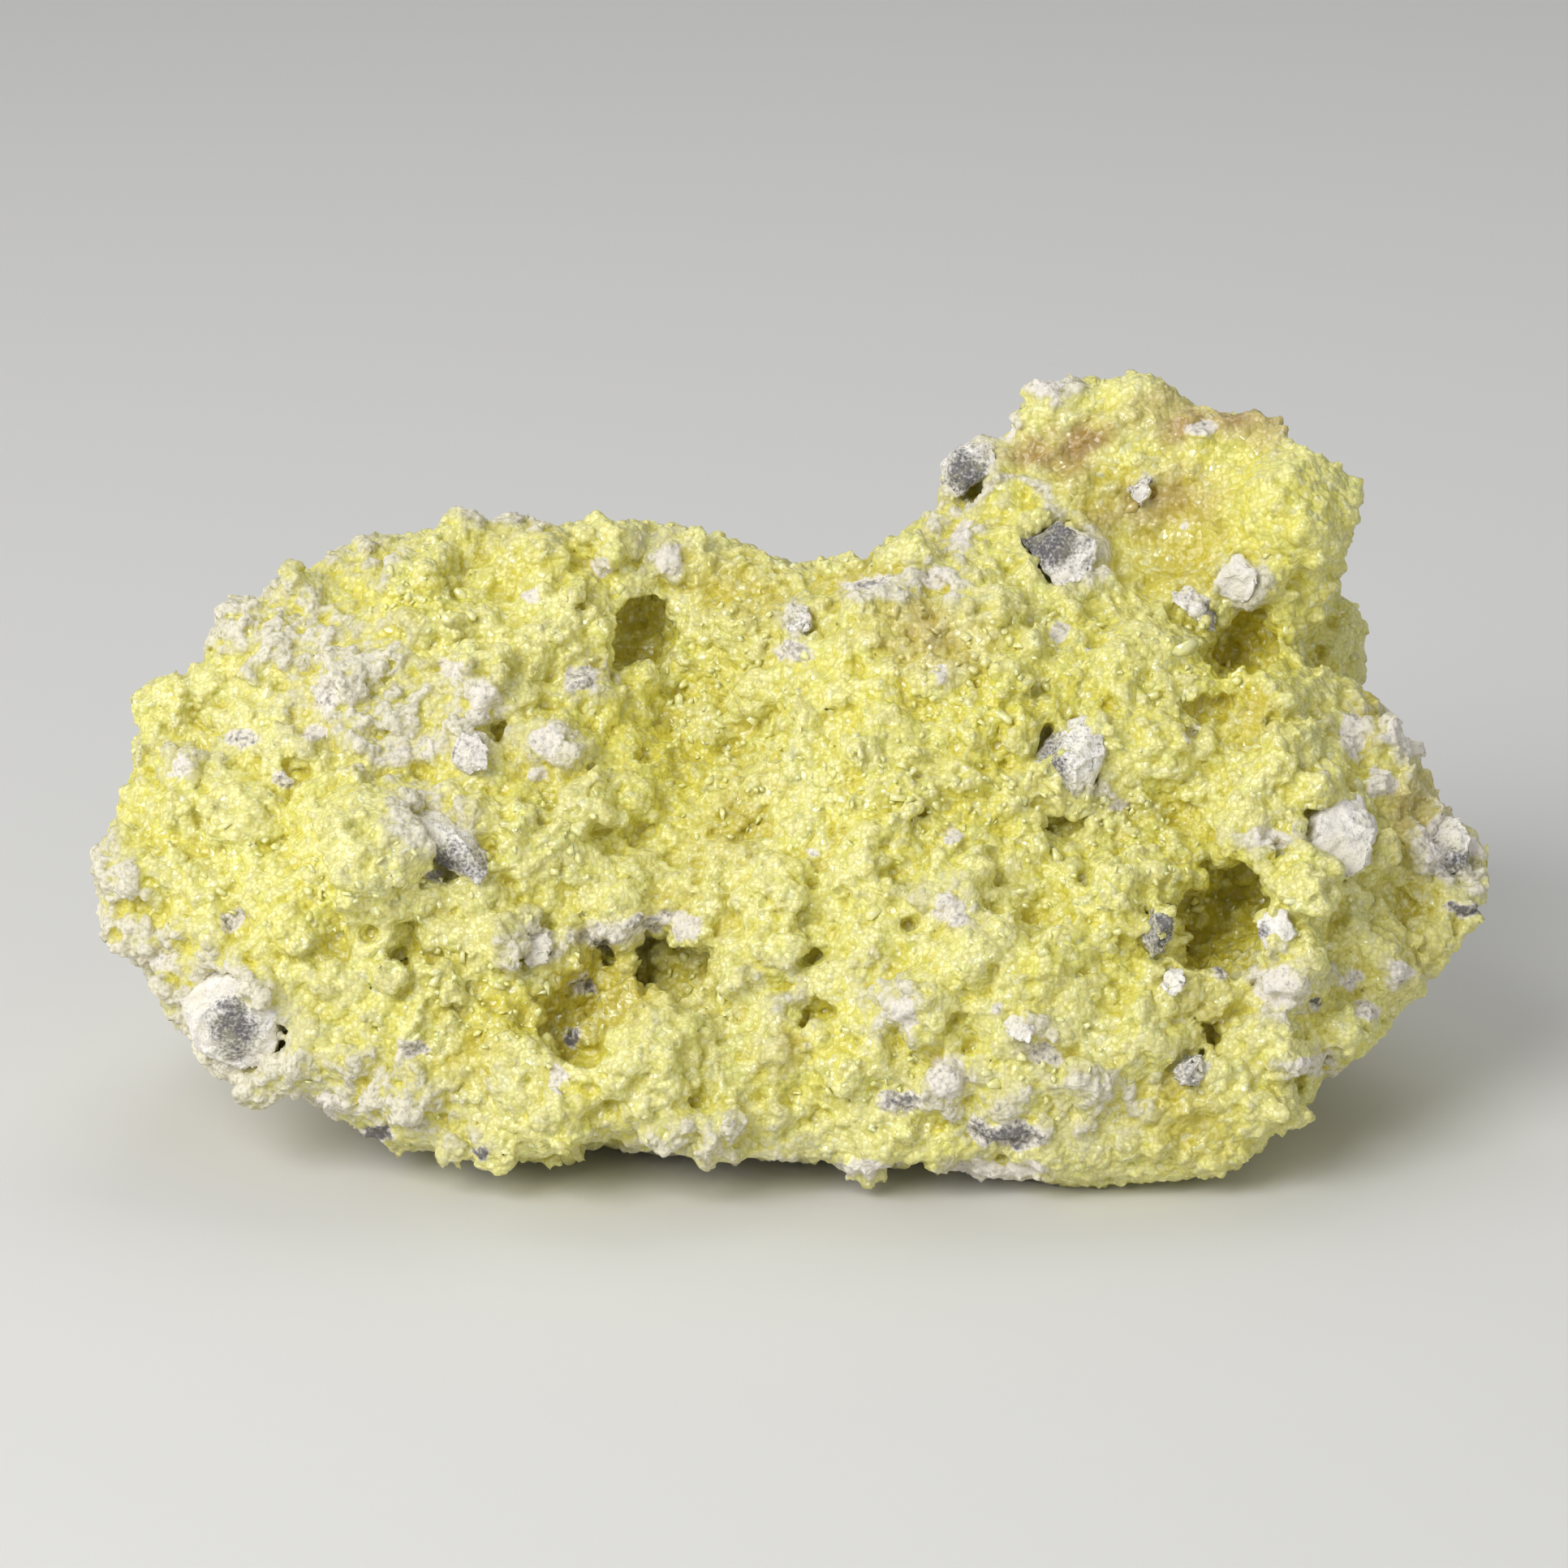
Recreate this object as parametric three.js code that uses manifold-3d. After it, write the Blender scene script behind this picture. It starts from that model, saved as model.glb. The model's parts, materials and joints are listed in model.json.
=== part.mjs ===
// Native sulfur specimen: a hand-sized mass of granular, crystalline sulfur that grew round
// broken pieces of pale volcanic rock. It stands on the flat face where it was broken off.
// Millimetres, +Z up, the front faces -Y, the origin is under the middle of the specimen.
import * as THREE from "three";
import { ConvexGeometry } from "three/addons/geometries/ConvexGeometry.js";
import { ImprovedNoise } from "three/addons/math/ImprovedNoise.js";
import { mergeVertices } from "three/addons/utils/BufferGeometryUtils.js";
import Module from "manifold-3d";

// Real sizes that everything else follows.
const LENGTH = 150;
const EYE_DISTANCE = 750;
const LOOK_DOWN = THREE.MathUtils.degToRad(18);
const ORIGIN_RIGHT = 0.3;
const ORIGIN_BACK = 3.4;
const ORIGIN_DOWN = 28.6;
const SOCKET_GAP = 0.32;

// The outlines are drawn as seen from the front, in the photograph's pixels.
const TIP_TO_TIP_PX = 1735;
const MM_PER_PX = LENGTH / TIP_TO_TIP_PX;
const PICTURE_MIDDLE_PX = [966, 966];
const MASS_CENTRE_PX = [965.5, 1050];
const LOBE_CENTRE_PX = [1420, 650];

// Outline of the main mass, clockwise from the left tip. Its upper right runs along the ledge
// that stands in front of the lobe.
const MASS_OUTLINE_PX = [
  [98, 1068], [112, 1022], [141, 1000], [131, 972], [149, 948], [161, 910], [187, 888], [197, 852],
  [230, 834], [244, 836], [249, 790], [270, 757], [315, 728], [355, 712], [385, 690], [418, 682],
  [442, 658], [500, 649], [545, 643], [560, 627], [592, 633], [640, 631], [700, 640], [780, 637],
  [840, 641], [905, 658], [945, 679], [968, 669], [1000, 681], [1045, 684], [1098, 671], [1133, 650],
  [1152, 618], [1215, 597], [1290, 606], [1345, 640], [1400, 690], [1460, 722], [1520, 772],
  [1590, 792], [1677, 798], [1680, 852], [1720, 880], [1752, 902], [1776, 962], [1790, 1003],
  [1830, 1030], [1834, 1090], [1803, 1150], [1778, 1205], [1742, 1222], [1722, 1262], [1702, 1312],
  [1645, 1332], [1608, 1353], [1598, 1395], [1555, 1428], [1515, 1432], [1488, 1452], [1435, 1450],
  [1370, 1468], [1328, 1470], [1270, 1455], [1190, 1442], [1125, 1430], [1055, 1452], [1020, 1436],
  [965, 1438], [882, 1414], [835, 1432], [770, 1425], [732, 1412], [660, 1438], [595, 1433],
  [545, 1422], [480, 1421], [447, 1397], [390, 1380], [345, 1366], [308, 1347], [275, 1322],
  [240, 1288], [225, 1250], [190, 1226], [152, 1203], [118, 1170], [112, 1130], [101, 1090],
];

// Outline of the lobe that stands up behind the ledge, clockwise from its left foot. Its lower
// edge is hidden in the mass.
const LOBE_OUTLINE_PX = [
  [1150, 668], [1137, 626], [1157, 592], [1168, 556], [1205, 545], [1233, 530], [1250, 507],
  [1272, 485], [1298, 462], [1350, 462], [1392, 459], [1415, 476], [1460, 486], [1492, 508],
  [1540, 510], [1572, 518], [1598, 552], [1640, 568], [1675, 597], [1684, 640], [1687, 680],
  [1670, 712], [1649, 745], [1620, 800], [1530, 850], [1400, 850], [1260, 800], [1180, 730],
];

// Mounds and hollows of the front: [x, y, half width, half height] in pixels, then mm out (+) or in (-).
const MASS_RELIEF = [
  [410, 1040, 290, 230, 6.5],
  [560, 760, 210, 110, 3],
  [850, 880, 92, 170, -8.5],
  [780, 1190, 150, 70, -6],
  [1110, 890, 170, 190, 6],
  [1390, 850, 160, 120, 5],
  [1260, 1190, 300, 150, 6.5],
  [770, 1320, 130, 80, 5],
  [1610, 1030, 80, 260, 5.5],
  [1760, 1080, 90, 260, -5],
  [1400, 1020, 150, 50, -3],
  [1200, 650, 120, 60, 2],
];
const LOBE_RELIEF = [
  [1340, 590, 90, 60, -2.2],
  [1590, 620, 90, 110, 3],
  [1430, 660, 60, 60, -1.5],
];

// Knobs of grown sulfur on the front: [x, y] in pixels, then the radius in mm.
const FRONT_KNOBS = [
  [124, 1066, 2.8], [1806, 1092, 3], [215, 880, 5.4], [150, 985, 3.4], [300, 790, 5.4],
  [385, 735, 5], [515, 740, 6.6], [565, 668, 5], [655, 690, 4.8], [448, 835, 6], [605, 850, 4.4],
  [688, 925, 4], [745, 690, 5.4], [835, 692, 5.4], [345, 935, 4.6], [255, 940, 4.6], [300, 1015, 6],
  [405, 1000, 5.4], [470, 1070, 8], [165, 1075, 5.6], [165, 1152, 4.4], [255, 1120, 5.2],
  [370, 1130, 5.4], [345, 1200, 5], [455, 1190, 5.6], [610, 1140, 5], [660, 1050, 5.6],
  [430, 1300, 5.4], [525, 1335, 5], [640, 1310, 5.6], [700, 1365, 5], [875, 1375, 5.2],
  [950, 1395, 4.8], [955, 1300, 6.2], [1026, 1320, 6], [880, 905, 4], [872, 795, 4.4],
  [780, 970, 7], [720, 1012, 5], [1000, 880, 5.8], [1085, 920, 6.4], [1080, 785, 6.6],
  [1150, 845, 5], [1208, 775, 5.2], [1252, 830, 5.4], [1338, 830, 5.4], [1408, 820, 6.6],
  [1185, 965, 4.4], [905, 1080, 5], [965, 1118, 5.6], [868, 1118, 4.8], [1080, 1060, 6],
  [1178, 1085, 5.2], [935, 1205, 6.2], [1130, 1215, 5.2], [1205, 1180, 5.6], [1292, 1185, 5.8],
  [1355, 1130, 5.6], [1165, 1335, 5], [1332, 1325, 6.2], [1402, 1275, 5], [1420, 1378, 5.2],
  [1085, 1395, 4.8], [1530, 1345, 5.8], [1575, 900, 6], [1590, 970, 5], [1605, 1095, 5],
  [1590, 1190, 5.6], [1560, 1268, 5.2], [1722, 1050, 5.4], [1758, 1130, 6], [1700, 1188, 5.4],
  [1660, 1252, 4.6], [1700, 930, 5], [762, 1118, 5.4], [782, 1305, 7.6], [1242, 1340, 5],
  [1300, 515, 5.6], [1395, 508, 6], [1482, 535, 4.8], [1552, 550, 5.2], [1597, 630, 7.4],
  [1560, 720, 6], [1640, 625, 5.4], [1120, 692, 4.8], [1185, 722, 5.4],
];

// Big lumps behind the outline, which carry the lobe and fill out the back: [x, y] in pixels,
// then mm back from the plane of the picture and the radius in mm.
const BACK_LUMPS = [
  [1240, 735, 15, 12], [1390, 735, 19, 15], [1540, 785, 19, 13], [560, 830, 19, 14],
  [400, 1010, 17, 14], [1000, 860, 26, 12], [1590, 960, 20, 13], [790, 980, 29, 13],
];

// Open hollows: [x, y, half width, half height] in pixels, depth in mm, and how far the bottom
// runs sideways under its rim, in pixels to the right and down.
const HOLLOWS = [
  { at: [1500, 1128, 66, 66], depth: 13, under: [26, -16] },
  { at: [797, 778, 30, 40], depth: 8, under: [-16, -12] },
  { at: [805, 1196, 92, 38], depth: 9, under: [0, -22] },
  { at: [708, 1262, 30, 40], depth: 7, under: [8, 0] },
  { at: [1524, 802, 42, 34], depth: 10, under: [20, -6] },
  { at: [742, 1046, 24, 24], depth: 4, under: [0, -8] },
  { at: [618, 906, 30, 15], depth: 5, under: [10, -4] },
  { at: [240, 897, 34, 17], depth: 4, under: [0, -6] },
  { at: [1290, 1110, 18, 22], depth: 4.5, under: [0, -8] },
  { at: [1490, 872, 52, 17], depth: 6, under: [0, -14] },
  { at: [552, 1090, 62, 17], depth: 4.5, under: [0, -16] },
  { at: [1492, 1300, 18, 44], depth: 5.5, under: [-6, 0] },
  { at: [1010, 1250, 34, 22], depth: 4, under: [0, -8] },
  { at: [1330, 1025, 70, 15], depth: 4, under: [0, -10] },
  { at: [952, 915, 15, 78], depth: 4.5, under: [14, 0] },
];

// Larger sulfur crystals: [x, y] in pixels, length in mm, and the turn of the long axis in degrees.
const CRYSTALS = [
  [1380, 1012, 4.6, 25], [612, 1252, 4.4, 60], [560, 1222, 4.2, 80], [838, 1208, 4, 120],
  [868, 872, 4.2, 35], [1452, 812, 4.8, 30], [1266, 792, 4, 70], [912, 780, 4.2, 140],
  [700, 1022, 4, 110], [640, 1210, 4.2, 75], [1060, 960, 4.2, 20], [940, 1030, 4, 60],
  [1322, 1090, 4, 100], [520, 1040, 3.8, 130], [1420, 760, 4, 15], [820, 1010, 4.2, 85],
  [330, 1060, 4, 60], [1500, 640, 3.8, 45], [1240, 1160, 4, 95], [720, 760, 3.8, 120],
  [1080, 1300, 4, 30], [1340, 1390, 4, 70],
];

// Broken pieces of the volcanic host rock that the sulfur grew round: centre in pixels, half
// sizes in mm across, up and deep, the turn in the picture in degrees, and how far they stand out.
const ROCKS = {
  dark_rock_on_ledge: { at: [1300, 680], half: [3.6, 4, 3.2], turn: 24, out: 0.6, tone: "dark" },
  dark_rock_beside_lobe: { at: [1191, 579], half: [2.9, 3, 2.8], turn: -12, out: 0.4, tone: "dark" },
  white_rock_right: { at: [1648, 1030], half: [4.2, 4.9, 3.4], turn: 14, out: 0.8, tone: "white" },
  kite_rock_centre: { at: [1322, 930], half: [3.7, 4.8, 3.2], turn: 20, out: 0.7, tone: "grey" },
  grey_rock_under_lobe: { at: [1472, 752], half: [2.5, 2.4, 2.5], turn: -20, out: 0.9, tone: "grey" },
  pink_rock_on_lobe: { at: [1532, 704], half: [2.2, 2.6, 2.2], turn: 0, out: 0.9, tone: "white" },
  small_rock_on_lobe: { at: [1404, 600], half: [1.8, 2.5, 1.8], turn: 10, out: 0.6, tone: "white" },
  cube_rock_left: { at: [580, 931], half: [2.3, 2.4, 2.3], turn: 8, out: 1.1, tone: "grey" },
  long_rock_left: { at: [556, 1040], half: [5.6, 3, 2.8], turn: -35, out: 1, tone: "grey" },
  white_rock_low_left: { at: [292, 1258], half: [5, 6.4, 4], turn: 30, out: 1, tone: "white" },
  grey_rock_top_centre: { at: [984, 762], half: [2, 2.2, 2], turn: 15, out: 1, tone: "grey" },
  white_rock_low_centre: { at: [1255, 1263], half: [2.1, 2, 1.9], turn: 5, out: 0.8, tone: "white" },
  dark_rock_in_hollow: { at: [1424, 1135], half: [2, 3.6, 2.2], turn: 8, out: 0.5, tone: "dark" },
  white_rock_in_hollow: { at: [1574, 1130], half: [2.1, 3.2, 2.1], turn: 18, out: 0.7, tone: "white" },
  white_rock_below_hollow: { at: [1450, 1214], half: [2.3, 2, 1.9], turn: -15, out: 0.8, tone: "white" },
  grey_rock_right_tip: { at: [1792, 1054], half: [2.9, 3.2, 3], turn: 35, out: 0.7, tone: "grey" },
  white_rock_mid_left: { at: [664, 1164], half: [2.5, 3, 2.3], turn: -14, out: 1, tone: "white" },
  grey_rock_low_right: { at: [1466, 1318], half: [2.2, 3, 2.1], turn: -32, out: 0.7, tone: "grey" },
};

const wasm = await Module();
wasm.setup();
const noise = new ImprovedNoise();
const random = (seed) => THREE.MathUtils.seededRandom(seed);

// A point of the picture, in mm right and up of the main mass's centre.
function inPicture([x, y]) {
  return [(x - MASS_CENTRE_PX[0]) * MM_PER_PX, (MASS_CENTRE_PX[1] - y) * MM_PER_PX];
}

// The point in space that is seen at picture point (u, v) from the front, `toward` mm nearer
// than the plane of the picture. The eye looks down a little, from EYE_DISTANCE away.
function inSpace(u, v, toward) {
  const [eyeU, eyeV] = inPicture(PICTURE_MIDDLE_PX);
  const shrink = 1 - toward / EYE_DISTANCE;
  const right = eyeU + (u - eyeU) * shrink;
  const up = eyeV + (v - eyeV) * shrink;
  return new THREE.Vector3(
    right - ORIGIN_RIGHT,
    up * Math.sin(LOOK_DOWN) - toward * Math.cos(LOOK_DOWN) - ORIGIN_BACK,
    up * Math.cos(LOOK_DOWN) + toward * Math.sin(LOOK_DOWN) + ORIGIN_DOWN,
  );
}

// Unit vectors of the picture in space: right, up, and toward the eye.
const RIGHT = new THREE.Vector3(1, 0, 0);
const UP = new THREE.Vector3(0, Math.sin(LOOK_DOWN), Math.cos(LOOK_DOWN));
const TOWARD = new THREE.Vector3(0, -Math.cos(LOOK_DOWN), Math.sin(LOOK_DOWN));

// An outline as radii by angle round its centre.
function polarOutline(pointsPx, centrePx) {
  const [cu, cv] = inPicture(centrePx);
  const spokes = pointsPx.map((p) => {
    const [u, v] = inPicture(p);
    return { angle: Math.atan2(v - cv, u - cu), radius: Math.hypot(u - cu, v - cv) };
  });
  spokes.sort((a, b) => a.angle - b.angle);
  const first = spokes[0];
  const last = spokes[spokes.length - 1];
  return [
    { angle: last.angle - 2 * Math.PI, radius: last.radius },
    ...spokes,
    { angle: first.angle + 2 * Math.PI, radius: first.radius },
  ];
}

// The outline's radius at an angle, straight between its points.
function radiusAt(spokes, angle) {
  const next = spokes.findIndex((s) => s.angle > angle);
  const [a, b] = [spokes[next - 1], spokes[next]];
  return THREE.MathUtils.mapLinear(angle, a.angle, b.angle, a.radius, b.radius);
}

// Sum of bell-shaped mounds and hollows at a picture point.
function relief(list, u, v) {
  return list.reduce((sum, [x, y, halfWidth, halfHeight, rise]) => {
    const [cu, cv] = inPicture([x, y]);
    const du = (u - cu) / (halfWidth * MM_PER_PX);
    const dv = (v - cv) / (halfHeight * MM_PER_PX);
    return sum + rise * Math.exp(-(du * du + dv * dv));
  }, 0);
}

// Depth of the plane that holds each body's outline: it leans back towards the top, and the
// mass's right end turns away.
function massRim(u, v) {
  const rightEnd = Math.max(0, u - 48);
  return 8.5 - 0.29 * v - 0.012 * rightEnd * rightEnd;
}
function lobeRim(u, v) {
  return -2 - 0.14 * (v - 35);
}

const MASS = {
  centre: MASS_CENTRE_PX,
  spokes: polarOutline(MASS_OUTLINE_PX, MASS_CENTRE_PX),
  rim: massRim,
  front: 9,
  back: 41,
  relief: MASS_RELIEF,
  detail: 7,
};
const LOBE = {
  centre: LOBE_CENTRE_PX,
  spokes: polarOutline(LOBE_OUTLINE_PX, LOBE_CENTRE_PX),
  rim: lobeRim,
  front: 6.5,
  back: 25,
  relief: LOBE_RELIEF,
  detail: 3,
};

// Depth of a body's front or back at a picture point. `share` is how far out towards the
// outline the point lies, from 0 to 1, and the surface rounds over as it gets there.
function depthAt(body, u, v, share, facingEye) {
  const rounding = Math.sqrt(Math.max(0, 1 - share ** 4));
  const waves = 1.1 * noise.noise(u / 13, v / 13, facingEye ? 3.5 : 41.5);
  if (!facingEye) {
    return body.rim(u, v) - (body.back + 2.5 * waves) * Math.sqrt(Math.max(0, 1 - share ** 3));
  }
  return body.rim(u, v) + (body.front + relief(body.relief, u, v) + waves) * rounding;
}

// A body is a ball whose directions are carried to the outline and the two depths.
function bodySolid(body) {
  const ball = new THREE.IcosahedronGeometry(1, body.detail);
  const [cu, cv] = inPicture(body.centre);
  return solidOf(ball, (s) => {
    const share = Math.min(1, Math.hypot(s.x, s.z));
    const angle = Math.atan2(s.z, s.x);
    const reach = radiusAt(body.spokes, angle) * share;
    const u = cu + reach * Math.cos(angle);
    const v = cv + reach * Math.sin(angle);
    return inSpace(u, v, depthAt(body, u, v, share, s.y < 0));
  });
}

// How far out towards a body's outline a picture point lies: under 1 is inside.
function shareAt(body, u, v) {
  const [cu, cv] = inPicture(body.centre);
  return Math.hypot(u - cu, v - cv) / radiusAt(body.spokes, Math.atan2(v - cv, u - cu));
}

// The nearest surface at a picture point, on the mass or the lobe, `out` mm nearer than it.
function onFront(px, out) {
  const [u, v] = inPicture(px);
  const depths = [MASS, LOBE]
    .map((body) => ({ body, share: Math.min(shareAt(body, u, v), 1.02) }))
    .filter(({ share }) => share < 1.02)
    .map(({ body, share }) => depthAt(body, u, v, share, true));
  return inSpace(u, v, Math.max(...depths) + out);
}

// A closed geometry as a solid, each vertex first carried by `place`.
function solidOf(geometry, place = (p) => p) {
  const bare = geometry.index ? geometry.toNonIndexed() : geometry;
  bare.deleteAttribute("normal");
  bare.deleteAttribute("uv");
  const merged = mergeVertices(bare, 1e-4);
  const position = merged.getAttribute("position");
  const point = new THREE.Vector3();
  for (let i = 0; i < position.count; i++) {
    point.fromBufferAttribute(position, i);
    position.setXYZ(i, ...place(point.clone()));
  }
  return new wasm.Manifold(
    new wasm.Mesh({
      numProp: 3,
      vertProperties: position.array,
      triVerts: new Uint32Array(merged.index.array),
    }),
  );
}

// A solid as a flat-shaded geometry.
function geometryOf(solid) {
  const mesh = solid.getMesh();
  const geometry = new THREE.BufferGeometry();
  geometry.setAttribute("position", new THREE.BufferAttribute(mesh.vertProperties, 3));
  geometry.setIndex(new THREE.BufferAttribute(mesh.triVerts, 1));
  const facets = geometry.toNonIndexed();
  facets.computeVertexNormals();
  return facets;
}

// A knob is an uneven ball of flat facets.
function knobSolid(centre, radius, seed, detail) {
  const ball = new THREE.IcosahedronGeometry(1, detail);
  const spin = new THREE.Euler(random(seed) * 6, random(seed + 1) * 6, random(seed + 2) * 6);
  return solidOf(ball, (s) => {
    const uneven = 1 + 0.34 * noise.noise(s.x * 1.7 + seed, s.y * 1.7, s.z * 1.7);
    return s.multiplyScalar(radius * uneven).applyEuler(spin).add(centre);
  });
}

// The knobs seen on the front, the big lumps behind, and knobs over the hidden sides, which stay
// within the outline.
function frontKnobs() {
  return FRONT_KNOBS.map(([x, y, radius], i) =>
    knobSolid(onFront([x, y], -0.52 * radius), radius, 7 * i + 1, radius > 7 ? 1 : 0),
  );
}
function backLump([x, y, back, radius], i) {
  const [u, v] = inPicture([x, y]);
  return knobSolid(inSpace(u, v, -back), radius, 800 + 13 * i, 1);
}
function hiddenKnobs() {
  const count = 16;
  const knobs = [];
  for (let i = 0; i < count; i++) {
    const angle = i * 2.399963;
    const radius = 5 + 4 * random(900 + i);
    const rim = radiusAt(MASS.spokes, Math.atan2(Math.sin(angle), Math.cos(angle)));
    const reach = Math.min(rim * Math.sqrt((i + 0.5) / count) * 0.97, rim - 1.2 * radius);
    const [u, v] = [reach * Math.cos(angle), reach * Math.sin(angle)];
    const centre = inSpace(u, v, depthAt(MASS, u, v, reach / rim, false) + 0.5 * radius);
    if (centre.z > radius) knobs.push(knobSolid(centre, radius, 500 + 11 * i, 0));
  }
  return knobs;
}

// A hollow is a facetted scoop whose floor runs in under its rim.
function hollowSolid({ at: [x, y, halfWidth, halfHeight], depth, under }, seed) {
  const scoop = new THREE.IcosahedronGeometry(1, depth > 6 ? 1 : 0).getAttribute("position");
  const mouth = onFront([x, y], 0.5);
  const corners = [];
  for (let i = 0; i < scoop.count; i++) {
    const s = new THREE.Vector3().fromBufferAttribute(scoop, i);
    const uneven = 1 + 0.25 * noise.noise(s.x * 2 + seed, s.y * 2, s.z * 2);
    const deep = Math.max(0, -s.y);
    const across = (s.x * halfWidth * uneven + under[0] * deep) * MM_PER_PX;
    const up = (s.z * halfHeight * uneven - under[1] * deep) * MM_PER_PX;
    corners.push(
      mouth
        .clone()
        .addScaledVector(RIGHT, across)
        .addScaledVector(UP, up)
        .addScaledVector(TOWARD, Math.max(0, s.y) * 4 - deep * depth * uneven),
    );
  }
  return solidOf(new ConvexGeometry(corners));
}

// A sulfur crystal is a steep double pyramid on a lozenge, its tip cut by a flat face.
function crystalSolid([x, y, length, turn], seed) {
  const half = length / 2;
  const [wide, narrow, tip, cut] = [0.36 * length, 0.27 * length, 0.3, 0.78 * half];
  const corners = [
    [wide, 0, 0], [-wide, 0, 0], [0, narrow, 0], [0, -narrow, 0],
    [wide * tip, 0, cut], [-wide * tip, 0, cut], [0, narrow * tip, cut], [0, -narrow * tip, cut],
    [0, 0, -half],
  ].map((c) => new THREE.Vector3(...c));
  const lean = THREE.MathUtils.degToRad(38 + 34 * random(seed));
  const axis = RIGHT.clone()
    .multiplyScalar(Math.cos(THREE.MathUtils.degToRad(turn)))
    .addScaledVector(UP, Math.sin(THREE.MathUtils.degToRad(turn)))
    .multiplyScalar(Math.cos(lean))
    .addScaledVector(TOWARD, Math.sin(lean));
  const stand = new THREE.Quaternion().setFromUnitVectors(new THREE.Vector3(0, 0, 1), axis.normalize());
  const foot = onFront([x, y], 0.5);
  return solidOf(new ConvexGeometry(corners), (p) => p.applyQuaternion(stand).add(foot));
}

// A rock fragment is an angular block: the hull of a box's corners and edges, knocked about.
function rockCorners({ half }, seed) {
  const corners = [];
  for (let i = 0; i < 8; i++) {
    const side = [i & 1 ? 1 : -1, i & 2 ? 1 : -1, i & 4 ? 1 : -1];
    corners.push(side.map((s, k) => s * half[k] * (0.62 + 0.3 * random(seed + 3 * i + k))));
  }
  for (let k = 0; k < 3; k++) {
    for (const sign of [-1, 1]) {
      const face = [0, 1, 2].map((m) => (m === k ? sign : 0.7 * (random(seed + 60 + k + m) - 0.5)));
      corners.push(face.map((f, m) => f * half[m] * (m === k ? 1 : 1.1)));
    }
  }
  return corners.map((c) => new THREE.Vector3(...c));
}
function rockGeometry(rock, seed, grow) {
  const scale = rock.half.map((h) => 1 + grow / (0.62 * h));
  const turn = THREE.MathUtils.degToRad(rock.turn);
  const across = RIGHT.clone().multiplyScalar(Math.cos(turn)).addScaledVector(UP, Math.sin(turn));
  const along = RIGHT.clone().multiplyScalar(-Math.sin(turn)).addScaledVector(UP, Math.cos(turn));
  const placed = rockCorners(rock, seed).map((c) =>
    new THREE.Vector3()
      .addScaledVector(across, c.x * scale[0])
      .addScaledVector(along, c.y * scale[1])
      .addScaledVector(TOWARD, c.z * scale[2]),
  );
  return new ConvexGeometry(placed);
}

// The block of air under the broken-off face.
function underBase() {
  const air = new THREE.BoxGeometry(2 * LENGTH, 2 * LENGTH, LENGTH);
  return solidOf(air, (p) => p.add(new THREE.Vector3(0, 0, -LENGTH / 2)));
}

const PAINT = {
  sulfur: new THREE.MeshStandardMaterial({ color: 0xe3e07c, roughness: 0.45, metalness: 0 }),
  white: new THREE.MeshStandardMaterial({ color: 0xe9e4d6, roughness: 0.95, metalness: 0 }),
  grey: new THREE.MeshStandardMaterial({ color: 0xb9b6ba, roughness: 0.95, metalness: 0 }),
  dark: new THREE.MeshStandardMaterial({ color: 0x77757b, roughness: 0.9, metalness: 0 }),
};

const specimen = new THREE.Group();
const sockets = [];
Object.entries(ROCKS).forEach(([name, rock], i) => {
  const seed = 100 * i + 17;
  const centre = onFront(rock.at, rock.out - 0.45 * rock.half[2]);
  const mesh = new THREE.Mesh(rockGeometry(rock, seed, 0), PAINT[rock.tone]);
  mesh.name = name;
  mesh.position.copy(centre);
  specimen.add(mesh);
  sockets.push(solidOf(rockGeometry(rock, seed, SOCKET_GAP), (p) => p.add(centre)));
});

const grown = [
  bodySolid(MASS),
  bodySolid(LOBE),
  ...frontKnobs(),
  ...BACK_LUMPS.map(backLump),
  ...hiddenKnobs(),
  ...CRYSTALS.map((c, i) => crystalSolid(c, 300 + i)),
];
const cuts = [...HOLLOWS.map((h, i) => hollowSolid(h, 20 + i)), ...sockets, underBase()];
const cutMass = wasm.Manifold.union(grown).subtract(wasm.Manifold.union(cuts));
// Crumbs that a cut leaves loose are dropped; the mass is the largest body.
const bodies = cutMass.decompose().sort((a, b) => b.volume() - a.volume());
const mass = new THREE.Mesh(geometryOf(bodies[0]), PAINT.sulfur);
mass.name = "sulfur_mass";
specimen.add(mass);

export default specimen;
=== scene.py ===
"""A hand specimen of native sulfur, standing on the face where it was broken off.

The sulfur grew as one sugary mass round broken pieces of pale volcanic rock. Metres, +Z up, the
front faces -Y. Measures written with MM are real sizes, and places on the front are given by the
pixel at which the photograph shows them.
"""

import itertools
import json
import math

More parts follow.
